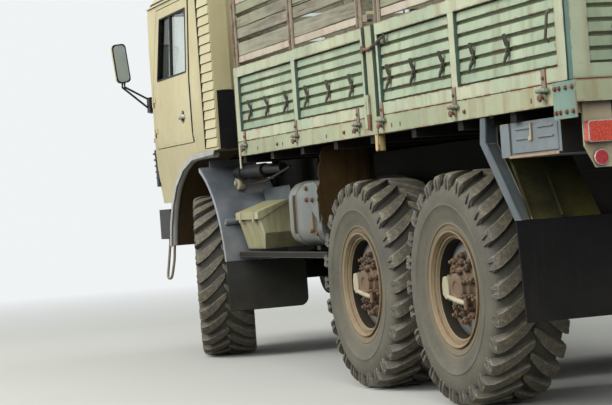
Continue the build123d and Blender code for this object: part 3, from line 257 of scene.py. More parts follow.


# Finishes of painted and bare metal; what a finish doesn't say comes from the plain one
# dirt is the tone of the painted shade and dirt in corners; corner and cornerReach set how strong and how far
plainLook = {"size": 1.0, "shift": 0.0, "streak": 0.3, "edge": 1.0, "edgeWidth": 0.012, "rust": 0.2,
             "rough": 0.55, "dust": 0.3, "dustTop": 1.4, "dustTone": tone(140, 130, 104), "facing": 0.6,
             "corner": 0.7, "cornerReach": 0.05, "shine": 0.5, "dirt": tone(40, 36, 26), "bump": 0.35,
             "metal": 0.0, "coat": 0.0}
finishLooks = {
    "khakiPaint": coated((186, 175, 132), (200, 190, 148), (152, 140, 96), dust=0.35,
        dustTone=(168, 158, 124), dustTop=1.7, rust=0.08, rough=0.48, shift=3.0, streak=0.2, edge=0.5,
        corner=0.5),
    "gillPaint": coated((190, 180, 138), (204, 195, 156), (168, 154, 108), dust=0.1, rust=0.05, rough=0.5,
        shift=4.0, streak=0.2, edge=0.5, corner=0.6),
    # the cab's inside tone is its khaki darkened: painted shade inside the cab
    "cabInside": coated((134, 130, 108), (150, 146, 124), (74, 70, 54), dust=0.2, rust=0.05, shift=4.5),
    "bedPaint": coated((142, 160, 134), (170, 182, 152), (104, 108, 76), dustTone=(160, 156, 122),
        dustTop=1.5, rust=0.42, rough=0.6, shift=11.0, streak=0.6, edge=1.4),
    "railPaint": coated((158, 172, 144), (186, 190, 160), (136, 116, 84), dust=0.2, dustTone=(176, 168, 136),
        dustTop=1.5, rust=0.52, rough=0.62, shift=12.0, streak=0.5, edge=1.6, edgeWidth=0.016),
    "ribShade": coated((52, 84, 78), (74, 104, 94), (44, 56, 46), dust=0.1, shift=14.0),
    # the seam tone is painted shade for the deep seams, the sill's slots and the gaps between the gills
    "seamDirt": coated((72, 82, 60), (92, 98, 74), (50, 50, 34), dust=0.0, rust=0.25, rough=0.8, shift=16.0,
        shine=0.12),
    "sillPaint": coated((146, 154, 124), (168, 172, 140), (132, 100, 54), dustTone=(160, 150, 112),
        dustTop=1.5, rust=0.5, rough=0.62, shift=17.0, streak=0.7, edge=1.6, edgeWidth=0.016),
    "socketYellow": coated((190, 168, 104), (204, 184, 126), (140, 96, 50), dust=0.2, rust=0.5, shift=18.0,
        streak=0.5),
    "rackRail": coated((176, 162, 142), (190, 182, 162), (140, 98, 78), dust=0.1, rust=0.5, rough=0.68,
        shift=20.0, streak=0.4),
    "rackPost": coated((112, 100, 84), (146, 136, 118), (96, 62, 48), dust=0.1, rust=0.48, rough=0.7,
        shift=22.0, streak=0.5),
    "fenderPaint": coated((158, 159, 154), (184, 184, 178), (80, 78, 70), dust=0.25, dustTone=(138, 132, 110),
        dustTop=1.3, rust=0.14, shift=5.0),
    "fenderInside": coated((62, 50, 34), (84, 66, 42), (36, 30, 22), dust=0.4, dustTone=(96, 80, 54),
        dustTop=1.5, rust=0.5, rough=0.8, shift=6.0, bump=0.7, shine=0.12),
    "mudguardPaint": coated((80, 86, 94), (124, 129, 134), (74, 72, 62), dust=0.28, dustTone=(110, 106, 92),
        dustTop=1.3, rust=0.06, rough=0.3, shift=7.0, coat=0.6, facing=0.3),
    "guardEdge": coated((62, 72, 78), (92, 102, 106), (50, 54, 52), dust=0.2, rust=0.16, rough=0.42,
        shift=8.0, streak=0.6),
    "mossyGuard": coated((25, 25, 20), (66, 63, 28), (22, 20, 15), dustTone=(84, 78, 48), dustTop=1.3,
        rust=0.1, rough=0.8, shift=10.0, size=2.2, bump=0.8, shine=0.12),
    "chassisPaint": coated((24, 24, 22), (36, 34, 30), (54, 46, 34), dust=0.35, dustTone=(66, 57, 42),
        dustTop=1.3, rust=0.3, rough=0.65, shift=9.0, facing=0.4, corner=0.85, edge=0.12, shine=0.12),
    "batteryBoxPaint": coated((150, 146, 108), (178, 174, 136), (84, 78, 46), dust=0.4,
        dustTone=(156, 148, 112), dustTop=1.3, rust=0.22, shift=13.0, streak=0.6),
    "tankPaint": coated((82, 89, 87), (112, 118, 113), (98, 86, 54), dust=0.4, dustTone=(134, 124, 98),
        dustTop=1.3, rough=0.42, shift=15.0, streak=0.5),
    "toolBoxPaint": coated((92, 104, 110), (116, 126, 130), (92, 84, 60), dustTone=(136, 128, 104),
        dustTop=1.5, rough=0.5, shift=19.0),
    "tornEdge": coated((186, 156, 116), (170, 128, 84), (112, 72, 44), dust=0.1, rust=0.55, rough=0.8,
        shift=24.0, bump=0.8),
    "rimPaint": coated((118, 104, 78), (146, 128, 98), (86, 62, 40), dust=0.4, dustTone=(142, 126, 96),
        rust=0.42, rough=0.62, shift=21.0),
    "wheelDiscPaint": coated((88, 92, 94), (112, 115, 113), (84, 68, 48), dust=0.35, dustTone=(120, 112, 90),
        rust=0.32, shift=23.0),
    "rustyHub": coated((120, 90, 66), (96, 78, 60), (52, 38, 26), dustTone=(150, 126, 96), rust=0.6,
        rough=0.7, shift=25.0, bump=0.7, edgeWidth=0.004, corner=0.95),
    "rustySteel": coated((98, 66, 46), (114, 86, 64), (58, 42, 32), dust=0.2, rust=0.55, rough=0.7,
        shift=27.0, bump=0.6),
    "splashBoard": coated((62, 46, 25), (104, 82, 48), (30, 25, 15), dust=0.2, dustTone=(110, 94, 62),
        rust=0.3, rough=0.8, shift=29.0, streak=0.95, bump=0.8, shine=0.12),
    "hookPaint": coated((52, 51, 38), (74, 72, 54), (46, 42, 32), dust=0.1, rust=0.3, shift=31.0,
        edgeWidth=0.004),
    "creamPaint": coated((158, 150, 122), (184, 176, 148), (118, 96, 66), dust=0.25, rust=0.4, shift=33.0,
        edgeWidth=0.005),
    "platePaint": coated((92, 122, 110), (124, 150, 134), (96, 72, 48), dust=0.1, rust=0.55, shift=34.0,
        streak=0.5),
    "flapDust": coated((40, 41, 40), (72, 74, 72), (62, 56, 42), dust=0.4, dustTone=(104, 98, 80),
        dustTop=0.9, rust=0.0, rough=0.4, shift=36.0, size=0.8, streak=0.4, edge=0.0, shine=0.3),
    "blackTrim": coated((22, 22, 23), (36, 36, 37), (58, 54, 46), dust=0.2, dustTone=(92, 88, 76),
        dustTop=1.3, rust=0.03, rough=0.42, shift=35.0, edge=0.3, shine=0.12),
    "galvanisedSteel": coated((142, 144, 140), (174, 176, 172), (96, 90, 78), dust=0.25, rust=0.16,
        rough=0.38, shift=37.0, metal=0.55),
}
finish = {name: paintedMetal(name, look) for name, look in finishLooks.items()}


def makeTyreRubber():
    # edge is the tone of a painted highlight on the lug edges; deep darkens specks and gives painted shade and
    # dirt in corners
    look = {"side": (98, 94, 80), "sideDark": (74, 72, 62), "groove": (72, 70, 62), "top": (96, 93, 84),
            "mud": (132, 120, 92), "deep": (36, 34, 30), "edge": (196, 188, 166), "bead": (140, 122, 92)}
    look = {part: tone(*colour) for part, colour in look.items()}
    material, tree, shader = startMaterial("tyreRubber")
    weather = useGroup(tree, weatherGroup, Size=1.6, Shift=41.0)
    broad, fine, speck = weather["Broad"], weather["Fine"], weather["Speck"]
    tread = put(tree, "ShaderNodeAttribute", attribute_name="tread").outputs["Fac"]
    edge = useGroup(tree, edgeGroup, Width=0.007, Breakup=0.7)[0]
    corner = useGroup(tree, cornerShadeAndDirtGroup, Reach=0.045)[0]
    wall = blendTone(tree, ramp(tree, broad, 0.35, 0.65), look["side"], look["sideDark"])
    wall = blendTone(tree, times(tree, ramp(tree, fine, 0.5, 0.75), 0.3), wall, look["mud"])
    worn = blendTone(tree, ramp(tree, fine, 0.46, 0.64), look["top"], look["mud"])
    worn = blendTone(tree, times(tree, ramp(tree, speck, 0.54, 0.68), 0.7), worn, look["deep"])
    wall = blendTone(tree, times(tree, ramp(tree, tread, -0.05, -0.5), 0.75), wall, look["bead"])
    colour = blendTone(tree, ramp(tree, tread, 0.0, 0.5), wall, look["groove"])
    colour = blendTone(tree, ramp(tree, tread, 0.5, 1.0), colour, worn)
    # painted shade and dirt in corners
    colour = blendTone(tree, times(tree, corner, 0.85), colour, look["deep"])
    # painted highlight on the lug edges
    colour = blendTone(tree, times(tree, edge, ramp(tree, tread, 0.2, 0.8)), colour, look["edge"])
    height = plus(tree, fine, times(tree, speck, ramp(tree, tread, 0.4, 1.0, 0.15, 1.2)))
    closeMaterial(tree, shader, colour, ramp(tree, fine, 0.2, 0.8, 0.58, 0.86), (height, 0.55, 0.004))
    return material


def makeFlapRubber():
    black, scuffed, dirt = tone(11, 11, 12), tone(24, 24, 26), tone(60, 56, 46)
    material, tree, shader = startMaterial("flapRubber")
    weather = useGroup(tree, weatherGroup, Size=1.3, Shift=43.0)
    dust = useGroup(tree, dustGroup, Amount=0.3, Top=0.95, Facing=0.7)[0]
    colour = blendTone(tree, ramp(tree, weather["Broad"], 0.4, 0.7), black, scuffed)
    streak = times(tree, ramp(tree, weather["Streak"], 0.55, 0.75), 0.25)
    colour = blendTone(tree, dust, blendTone(tree, streak, colour, dirt), dirt)
    closeMaterial(tree, shader, colour, ramp(tree, weather["Fine"], 0.3, 0.7, 0.42, 0.66),
                  (weather["Fine"], 0.3, 0.002), Specular_IOR_Level=0.12)
    return material


def makePlankWood(name, look):
    look = {part: value if part.lower().endswith("grain") else tone(*value) for part, value in look.items()}
    material, tree, shader = startMaterial(name)
    plank = put(tree, "ShaderNodeAttribute", attribute_name="plank").outputs["Fac"]
    apart = put(tree, "ShaderNodeCombineXYZ", {0: times(tree, plank, 7.0), 2: times(tree, plank, 3.0)})
    moved = joinVectors(tree, objectPlace(tree), apart.outputs[0])
    fibre = grainOf(tree, moved, 10, 8, 0.7, look["grain"])
    crack = grainOf(tree, moved, 7, 5, 0.6, look["crackGrain"], 3.1)
    broad = grainOf(tree, moved, 1.6, 4)
    stain = grainOf(tree, moved, 3.2, 6, 0.7, (1, 1, 1.6), 9.0)
    corner = useGroup(tree, cornerShadeAndDirtGroup, Reach=0.05)[0]
    edge = useGroup(tree, edgeGroup, Width=0.006, Breakup=0.6)[0]
    split = ramp(tree, crack, 0.64, 0.68)
    colour = blendTone(tree, ramp(tree, fibre, 0.34, 0.66), look["dark"], look["grey"])
    # pale on the edges is weathering and a painted highlight; the gap tone is real in cracks and is painted shade
    # and dirt in corners
    for amount, upper in ((ramp(tree, broad, 0.42, 0.7, 0.0, 0.7), "pale"),
                          (ramp(tree, times(tree, plank, broad), 0.3, 0.55, 0.0, 0.5), "green"),
                          (ramp(tree, stain, 0.58, 0.7, 0.0, 0.6), "stain"), (times(tree, edge, 0.5), "pale"),
                          (maths(tree, "MAXIMUM", split, times(tree, corner, 0.8)), "gap")):
        colour = blendTone(tree, amount, colour, look[upper])
    height = maths(tree, "SUBTRACT", fibre, times(tree, split, 1.4))
    closeMaterial(tree, shader, colour, ramp(tree, fibre, 0.2, 0.8, 0.72, 0.92), (height, 0.7, 0.004))
    return material


def makeGlass(name, tint, film, rough):
    material, tree, shader = startMaterial(name)
    weather = useGroup(tree, weatherGroup, Size=1.0, Shift=47.0)
    colour = blendTone(tree, ramp(tree, weather["Broad"], 0.4, 0.7), tint, film)
    closeMaterial(tree, shader, colour, ramp(tree, weather["Fine"], 0.3, 0.8, rough, rough + 0.08),
                  Transmission_Weight=1.0, IOR=1.12)
    return material


def makeMirrorPaintedReflection():
    material, tree, shader = startMaterial("mirrorGlass")
    weather = useGroup(tree, weatherGroup, Size=1.0, Shift=49.0)
    # the pale blue-grey tone is a painted reflection in the mirror
    dark, pale = tone(152, 167, 171), tone(172, 184, 186)
    colour = blendTone(tree, ramp(tree, weather["Broad"], 0.4, 0.65), dark, pale)
    closeMaterial(tree, shader, colour, ramp(tree, weather["Fine"], 0.3, 0.8, 0.3, 0.4), Metallic=0.1)
    return material


def makeLens(name, colour, deep):
    material, tree, shader = startMaterial(name)
    place = objectPlace(tree)
    cells = put(tree, "ShaderNodeTexVoronoi", {"Vector": place, "Scale": 150.0}).outputs["Distance"]
    shade = blendTone(tree, ramp(tree, cells, 0.1, 0.6), colour, deep)
    dusty = ramp(tree, grainOf(tree, place, 12, 5), 0.5, 0.75, 0.0, 0.3)
    closeMaterial(tree, shader, blendTone(tree, dusty, shade, tone(180, 150, 120)),
                  ramp(tree, dusty, 0.0, 0.3, 0.16, 0.5), (cells, 0.3, 0.002))
    return material


def makeCloth():
    material, tree, shader = startMaterial("seatCloth")
    place = objectPlace(tree)
    threads = [put(tree, "ShaderNodeTexWave", {"Vector": place, "Scale": 90.0, "Distortion": 0.6},
                   wave_type="BANDS", bands_direction=way).outputs["Fac"] for way in ("X", "Y")]
    thread = times(tree, *threads)
    worn = ramp(tree, grainOf(tree, place, 4, 5), 0.4, 0.7)
    colour = blendTone(tree, thread, tone(34, 34, 32), tone(58, 57, 52))
    colour = blendTone(tree, times(tree, worn, 0.4), colour, tone(92, 86, 72))
    closeMaterial(tree, shader, colour, ramp(tree, worn, 0.0, 1.0, 0.82, 0.95), (thread, 0.4, 0.001),
                  Sheen_Weight=0.25)
    return material


finish["tyreRubber"] = makeTyreRubber()
finish["flapRubber"] = makeFlapRubber()
finish["plankWood"] = makePlankWood("weatheredPlanks", {
    "grey": (146, 142, 122), "dark": (86, 82, 66), "pale": (174, 170, 150), "green": (134, 144, 104),
    "stain": (120, 80, 60), "gap": (30, 27, 20), "grain": (0.22, 2.2, 5.0), "crackGrain": (0.12, 1.5, 6.5)})
finish["floorWood"] = makePlankWood("floorPlanks", {
    "grey": (120, 114, 94), "dark": (78, 72, 56), "pale": (142, 136, 114), "green": (100, 106, 74),
    "stain": (84, 62, 44), "gap": (26, 23, 17), "grain": (0.22, 5.0, 2.2), "crackGrain": (0.12, 6.5, 1.5)})
finish["windowGlass"] = makeGlass("windowGlass", tone(236, 242, 240), tone(226, 228, 220), 0.02)
finish["mirrorGlass"] = makeMirrorPaintedReflection()
finish["orangeLens"] = makeLens("orangeLens", tone(228, 88, 48), tone(180, 48, 28))
finish["redLens"] = makeLens("redReflector", tone(206, 34, 46), tone(150, 14, 26))
finish["clearLens"] = makeLens("clearLens", tone(206, 210, 206), tone(150, 156, 154))
finish["seatCloth"] = makeCloth()
print("materials:", len(finish))


# Mesh helpers

def addBox(bm, low, high, materialIndex=0):
    centre = [(a + b) / 2 for a, b in zip(low, high)]
    size = [abs(b - a) for a, b in zip(low, high)]
    made = bmesh.ops.create_cube(bm, size=1, matrix=Matrix.Translation(centre) @ Matrix.Diagonal((*size, 1)))
    for face in {face for vertex in made["verts"] for face in vertex.link_faces}:
        face.material_index = materialIndex


def joinRings(bm, rings, materialIndex=0, closed=False, capped=True):
    # four-sided faces from ring to ring, then the two ends
    count = len(rings[0])
    faces = [bm.faces.new((first[k], first[(k + 1) % count], second[(k + 1) % count], second[k]))
             for first, second in list(zip(rings, rings[1:])) + ([(rings[-1], rings[0])] if closed else [])
             for k in range(count)]
    if capped and not closed:
        faces += [bm.faces.new(list(reversed(rings[0]))), bm.faces.new(rings[-1])]
    for face in faces:
        face.material_index = materialIndex


def addTube(bm, points, radius, sides=14, materialIndex=0, closed=False):
    # round bar through the points; radius is one number or one for each point
    points = [Vector(p) for p in points]
    count = len(points)
    rings = []
    side = None
    for index, point in enumerate(points):
        before = points[index - 1] if index or closed else point
        after = points[(index + 1) % count] if index < count - 1 or closed else point
        along = (after - before).normalized()
        side = along.orthogonal() if side is None else side
        side = (side - along * side.dot(along)).normalized()
        across = along.cross(side)
        wide = radius[index] if isinstance(radius, (list, tuple)) else radius
        turns = [2 * pi * k / sides for k in range(sides)]
        rings.append([bm.verts.new(point + (side * cos(a) + across * sin(a)) * wide) for a in turns])
    joinRings(bm, rings, materialIndex, closed)


def addLathe(bm, profile, segments=64, materialIndex=0, closed=True, place=None):
    # profile of (radius, y) pairs turned about Y; a radius of 0 makes a pole
    place = place or Matrix.Identity(4)
    rings = []
    turns = [2 * pi * k / segments for k in range(segments)]
    for radius, y in profile:
        spots = [(radius * cos(a), y, radius * sin(a)) for a in turns] if radius > 1e-6 else [(0, y, 0)]
        rings.append([bm.verts.new(place @ Vector(spot)) for spot in spots])
    for first, second in list(zip(rings, rings[1:])) + ([(rings[-1], rings[0])] if closed else []):
        if len(first) + len(second) == 2:
            continue
        for k in range(segments):
            n = (k + 1) % segments
            corners = ((first[0], second[n], second[k]) if len(first) == 1 else
                       (first[k], first[n], second[0]) if len(second) == 1 else
                       (first[k], first[n], second[n], second[k]))
            bm.faces.new(corners).material_index = materialIndex


def addPlate(bm, outline, thick, place, materialIndex=0):
    # flat outline in the local XY plane, thick along local Z, put in place by a matrix
    low = [bm.verts.new(place @ Vector((x, y, 0))) for x, y in outline]
    high = [bm.verts.new(place @ Vector((x, y, thick))) for x, y in outline]
    joinRings(bm, (low, high), materialIndex)


def sidePlace(y, outward):
    # local X along the truck, local Y up, thickness outward
    return Matrix(((1, 0, 0, 0), (0, 0, outward, y), (0, 1, 0, 0), (0, 0, 0, 1)))


def frontPlace(x):
    # local X across the truck, local Y up, thickness forward
    return Matrix(((0, 0, 1, x), (1, 0, 0, 0), (0, 1, 0, 0), (0, 0, 0, 1)))


def sided(out, points):
    # points of the left side, kept there or moved across to the right
    return [(x, out * y, z) for x, y, z in points]


def addForms(bm, out, *forms):
    # a box has two corners, a bar its points, radius and sides, and a plate its outline, thickness and y;
    # what follows them is the finish's index, and out is 1 for the left side and -1 for the right
    for kind, *form in forms:
        if kind == "box":
            addBox(bm, *sided(out, form[:2]), *form[2:])
        elif kind == "bar":
            addTube(bm, sided(out, form[0]), *form[1:])
        else:
            outline, thick, y, *index = form
            addPlate(bm, outline, thick, sidePlace(out * y, out), *index)


def sideSpots(out, y, spots):
    # places for bolts on a side of the truck, their heads outward
    return [(Vector((x, out * y, z)), outwardTurn[out]) for x, z in spots]


def bevelIslands(bm, width, segments=2, sharp=28):
    # each loose solid by itself, so that one small edge doesn't hold back the rest
    seen = set()
    for start in list(bm.verts):
        if start in seen or not start.is_valid:
            continue
        stack, island = [start], []
        seen.add(start)
        while stack:
            vertex = stack.pop()
            island.append(vertex)
            for edge in vertex.link_edges:
                other = edge.other_vert(vertex)
                if other not in seen:
                    seen.add(other)
                    stack.append(other)
        edges = {edge for vertex in island for edge in vertex.link_edges
                 if len(edge.link_faces) == 2 and edge.calc_face_angle(0) > radians(sharp)}
        span = [max(v.co[k] for v in island) - min(v.co[k] for v in island) for k in range(3)]
        offset = min(width, min(span) * 0.3)
        if edges and offset > 2e-4:
            made = bmesh.ops.bevel(bm, geom=list(edges), offset=offset, segments=segments, profile=0.5,
                                   affect="EDGES", clamp_overlap=True)
            seen.update(made["verts"])


def closeMesh(name, bm, names=()):
    mesh = bpy.data.meshes.new(name)
    bm.to_mesh(mesh)
    bm.free()
    for title in (names,) if isinstance(names, str) else names:
        mesh.materials.append(finish[title])
    return mesh


def smoothFaces(mesh, sharp):
    mesh.polygons.foreach_set("use_smooth", [True] * len(mesh.polygons))
    mesh.set_sharp_from_angle(angle=radians(sharp))
    return mesh


def showObject(name, data):
    holder = bpy.data.objects.new(name, data)
    scene.collection.objects.link(holder)
    return holder


def finishPiece(name, bm, names, body, bevel=0.0, stands=(), outward=True, sharp=38):
    if outward:
        bmesh.ops.recalc_face_normals(bm, faces=bm.faces)
    if bevel:
        bevelIslands(bm, bevel)
    piece = showObject(name, smoothFaces(closeMesh(name, bm, names), sharp))
    piece.modifiers.new("even shading", "WEIGHTED_NORMAL").keep_sharp = True
    return placePiece(settleMesh(piece), body, stands)


def settleMesh(piece):
    # the evaluated mesh becomes the piece's own, with no modifier left
    shape = bpy.data.meshes.new_from_object(piece.evaluated_get(bpy.context.evaluated_depsgraph_get()))
    shape.name = piece.name
    piece.modifiers.clear()
    piece.data = shape
    return piece


def placePiece(piece, body, stands=()):
    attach(piece, body)
    if stands:
        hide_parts(*stands)
    return piece


def dressNode(node, names, bevel=0.003, sharp=34, pick=None):
    # a node's own form with its small edges rounded; pick gives the finish of a face by centre and normal
    bm = bmesh.new()
    bm.from_mesh(nodes[node].data)
    bmesh.ops.remove_doubles(bm, verts=bm.verts, dist=1e-5)
    bmesh.ops.dissolve_limit(bm, angle_limit=radians(0.4), verts=bm.verts, edges=bm.edges)
    bm.normal_update()
    for face in bm.faces:
        face.material_index = names.index(pick(face.calc_center_median(), face.normal)) if pick else 0
    return finishPiece(node + "_finished", bm, names, bodyOf[node], bevel, (node,), False, sharp)


# Geometry Nodes: one part set on each point of a mesh, stretched, turned a little at random and warped

def makePartOnPoints():
    tree = bpy.data.node_groups.new("partOnPoints", "GeometryNodeTree")
    for title, kind, value in (("Points", "Geometry", None), ("Part", "Object", None), ("Size", "Float", 1.0),
                               ("Loose Turn", "Vector", None), ("Warp", "Float", 0.0), ("Seed", "Int", 7),
                               ("Finish", "Material", None)):
        socket = tree.interface.new_socket(title, in_out="INPUT", socket_type="NodeSocket" + kind)
        if value is not None:
            socket.default_value = value
    tree.interface.new_socket("Geometry", in_out="OUTPUT", socket_type="NodeSocketGeometry")
    given = tree.nodes.new("NodeGroupInput").outputs
    part = put(tree, "GeometryNodeObjectInfo", {"Object": given["Part"]}, transform_space="ORIGINAL")
    kinds = {"turn": "FLOAT_VECTOR", "stretch": "FLOAT_VECTOR", "plank": "FLOAT"}
    named = "GeometryNodeInputNamedAttribute"
    turn, stretch, mark = (put(tree, named, {"Name": title}, data_type=kind).outputs[0]
                           for title, kind in kinds.items())
    back = scaleVector(tree, given["Loose Turn"], -1.0)
    limits = {"Min": back, "Max": given["Loose Turn"], "Seed": given["Seed"]}
    loose = put(tree, "FunctionNodeRandomValue", limits, data_type="FLOAT_VECTOR").outputs[0]
    euler = put(tree, "FunctionNodeEulerToRotation", {0: joinVectors(tree, turn, loose)}).outputs[0]
    share = put(tree, "FunctionNodeRandomValue", {"Seed": given["Seed"]}, data_type="FLOAT").outputs[1]
    marked = put(tree, "GeometryNodeStoreNamedAttribute", {"Geometry": given["Points"], "Name": "plank"},
                 data_type="FLOAT", domain="POINT")
    tree.links.new(share, marked.inputs["Value"])
    placed = put(tree, "GeometryNodeInstanceOnPoints", {
        "Points": marked.outputs[0], "Instance": part.outputs["Geometry"], "Rotation": euler,
        "Scale": scaleVector(tree, stretch, given["Size"])})
    whole = put(tree, "GeometryNodeRealizeInstances", {0: placed.outputs[0]})
    where = put(tree, "GeometryNodeInputPosition").outputs[0]
    apart = joinVectors(tree, where, times(tree, mark, 31.0))
    wave = put(tree, "ShaderNodeTexNoise", {"Vector": apart, "Scale": 1.3, "Detail": 1.0}).outputs[1]
    shift = scaleVector(tree, joinVectors(tree, wave, (0.5, 0.5, 0.5), "SUBTRACT"), given["Warp"])
    bent = put(tree, "GeometryNodeSetPosition", {"Geometry": whole.outputs[0], "Offset": shift})
    finished = put(tree, "GeometryNodeSetMaterial", {"Geometry": bent.outputs[0], "Material": given["Finish"]})
    tree.links.new(finished.outputs[0], tree.nodes.new("NodeGroupOutput").inputs[0])
    return tree


partOnPoints = makePartOnPoints()
spareParts = bpy.data.collections.new("partsToSet")


def spread(name, part, places, finishName, body, size=1.0, loose=(0, 0, 0), seed=7, warp=0.0):
    # places are (point, euler) or (point, euler, stretch)
    mesh = bpy.data.meshes.new(name)
    mesh.from_pydata([tuple(place[0]) for place in places], [], [])
    turns = [value for place in places for value in place[1]]
    stretches = [value for place in places for value in (place[2] if len(place) > 2 else (1, 1, 1))]
    for title, values in (("turn", turns), ("stretch", stretches)):
        mesh.attributes.new(title, "FLOAT_VECTOR", "POINT").data.foreach_set("vector", values)
    piece = showObject(name, mesh)
    modifier = piece.modifiers.new("parts", "NODES")
    modifier.node_group = partOnPoints
    values = {"Part": part, "Size": size, "Loose Turn": loose, "Seed": seed, "Finish": finish[finishName],
              "Warp": warp}
    for item in partOnPoints.interface.items_tree:
        if item.in_out == "INPUT" and item.name in values:
            modifier[item.identifier] = values[item.name]
    smoothFaces(settleMesh(piece).data, 35)
    return placePiece(piece, body, ())


def makePart(name, bm, bevel=0.0):
    # a part that is only ever set on points, and never shown by itself
    bmesh.ops.recalc_face_normals(bm, faces=bm.faces)
    if bevel:
        bevelIslands(bm, bevel)
    part = bpy.data.objects.new(name, closeMesh(name, bm))
    spareParts.objects.link(part)
    return part


def makeBolt(name, across, height, washer=0.0, stud=0.0):
    # hexagon head on +Z with an optional washer and stud end
    bm = bmesh.new()
    for count, radius, thick, rise in ((6, across * 0.577, height, washer), (16, across * 0.72, washer, 0),
                                       (10, across * 0.28, stud, washer + height)):
        if thick:
            turns = [2 * pi * k / count for k in range(count)]
            addPlate(bm, [(radius * cos(a), radius * sin(a)) for a in turns], thick,
                     Matrix.Translation((0, 0, rise)))
    return makePart(name, bm, across * 0.05)


def makePlank(name, cuts):
    # unit board along X, thin in Y, with small chamfers along its length
    bm = bmesh.new()
    section = ((-0.5, -0.46), (-0.38, -0.5), (0.38, -0.5), (0.5, -0.46), (0.5, 0.46), (0.38, 0.5), (-0.38, 0.5),
               (-0.5, 0.46))
    joinRings(bm, [[bm.verts.new((step / cuts - 0.5, y, z)) for y, z in section] for step in range(cuts + 1)])
    return makePart(name, bm)


def makeKnob():
    # mushroom end of a hinge strap, on +Z
    bm = bmesh.new()
    profile = ((0, 0), (0.007, 0), (0.007, 0.01), (0.015, 0.012), (0.0165, 0.017), (0.012, 0.022), (0, 0.024))
    addLathe(bm, profile, 14, closed=False, place=Matrix.Rotation(pi / 2, 4, "X"))
    return makePart("hingeKnob", bm)


def makeHook():
    # tarpaulin hook on +Y: a strap with two prongs above and a slanting point below
    bm = bmesh.new()
    prongs = [("bar", ((x, 0.005, 0.015), (x - 0.002, 0.016, 0.045), (x - 0.004, 0.022, 0.074)),
               (0.0075, 0.007, 0.005), 8) for x in (-0.01, 0.01)]
    addForms(bm, 1, ("box", (-0.012, 0.0, -0.035), (0.012, 0.007, 0.03)), *prongs,
             ("bar", ((-0.002, 0.006, -0.02), (0.008, 0.016, -0.045), (0.024, 0.024, -0.082)),
              (0.012, 0.01, 0.003), 8),
             ("bar", ((0.0, 0.003, -0.005), (0.0, 0.014, -0.005)), 0.011, 10))
    return makePart("tarpHook", bm)


wheelNut = makeBolt("wheelNut", 0.03, 0.024, 0.006, 0.014)
smallBolt = makeBolt("smallBolt", 0.018, 0.009, 0.003)
plankPart = makePlank("plankPart", 14)
slatPart = makePlank("slatPart", 1)
hingeKnob = makeKnob()
tarpHook = makeHook()
outwardTurn = {1: (-pi / 2, 0, 0), -1: (pi / 2, 0, 0)}       # a part's +Z to the left or right side


# Wheels: one tyre and one rim are built about the origin, outboard along +Y, and then set on each axle

tyreLook = {"radius": 0.6, "lugs": 26, "wear": 0.0025, "finApart": 0.0215, "wallTop": 0.54, "bead": 0.37,
            "barrel": 0.2545}
lugSections = (
    # y across the tread, lead round the tyre, half width, top radius, bottom radius
    (-0.006, 0.158, 0.014, 0.5985, 0.56), (0.02, 0.134, 0.027, 0.6, 0.56), (0.06, 0.094, 0.036, 0.6, 0.56),
    (0.11, 0.05, 0.039, 0.599, 0.556), (0.155, 0.018, 0.04, 0.5955, 0.548), (0.18, 0.005, 0.039, 0.589, 0.54),
    (0.1905, 0.0, 0.037, 0.58, 0.535),
)
finSections = (
    # y, top radius on the sidewall, half width
    (0.19, 0.581, 0.0145), (0.1985, 0.562, 0.0135), (0.1995, 0.538, 0.0105), (0.1975, 0.51, 0.004),
)
carcassProfile = (
    # radius, y from the crown down the outboard side to the bead
    (0.571, 0.0), (0.5695, 0.06), (0.566, 0.11), (0.559, 0.145), (0.546, 0.17), (0.526, 0.186), (0.5, 0.1945),
    (0.47, 0.1975), (0.438, 0.1965), (0.434, 0.199), (0.429, 0.199), (0.425, 0.1955), (0.395, 0.19),
    (0.364, 0.181), (0.34, 0.1745), (0.336, 0.177), (0.331, 0.1765), (0.327, 0.171), (0.306, 0.166),
    (0.296, 0.164), (0.286, 0.156), (0.286, 0.13),
)
rimProfile = (
    # radius, y: outer flange, lock ring steps, barrel, inner flange and back
    (0.298, 0.164), (0.3, 0.17), (0.2985, 0.1765), (0.2935, 0.1778), (0.288, 0.174), (0.285, 0.164),
    (0.282, 0.16), (0.278, 0.1605), (0.277, 0.152), (0.27, 0.15), (0.2685, 0.153), (0.264, 0.153),
    (0.262, 0.148), (0.26, 0.14), (0.255, 0.138), (0.253, 0.135), (0.253, 0.07), (0.248, 0.05),
    (0.248, -0.12), (0.256, -0.15), (0.26, -0.166), (0.29, -0.169), (0.296, -0.17), (0.296, -0.177),
    (0.264, -0.1775), (0.264, -0.06), (0.264, 0.12), (0.285, 0.156),
)
discProfile = (
    # wheel disc from the barrel to the hub flange, and back behind
    (0.25, 0.064), (0.25, 0.078), (0.242, 0.085), (0.225, 0.088), (0.205, 0.094), (0.185, 0.096),
    (0.142, 0.096), (0.142, 0.082), (0.19, 0.08), (0.22, 0.07),
)
hubProfile = (
    (0.144, 0.07), (0.144, 0.101), (0.138, 0.106), (0.118, 0.109), (0.112, 0.115), (0.108, 0.133),
    (0.104, 0.136), (0.086, 0.136), (0.082, 0.14), (0.08, 0.158), (0.074, 0.162), (0.042, 0.162),
    (0.038, 0.16), (0.036, 0.156), (0.0, 0.155), (0.0, 0.07),
)
drumProfile = (
    (0.204, -0.125), (0.204, 0.006), (0.198, 0.012), (0.13, 0.014), (0.13, -0.002), (0.186, -0.004),
    (0.186, -0.125),
)
nutRings = (
    # count, radius, y, size
    (10, 0.1675, 0.096, 1.1), (10, 0.127, 0.107, 0.9), (8, 0.095, 0.136, 0.7),
)


def roundPoint(y, radius, lead):
    # lead is measured round the tread; it grows upward at the back of the wheel
    angle = lead / tyreLook["radius"]
    return Vector((-radius * cos(angle), y, radius * sin(angle)))


def addLoft(bm, sections, layer, marks):
    # rings of points in one order, each point of a ring with its tread value; the ends are closed
    rings = [[bm.verts.new(p) for p in ring] for ring in sections]
    for ring in rings:
        for vertex, mark in zip(ring, marks):
            vertex[layer] = mark
    joinRings(bm, rings)


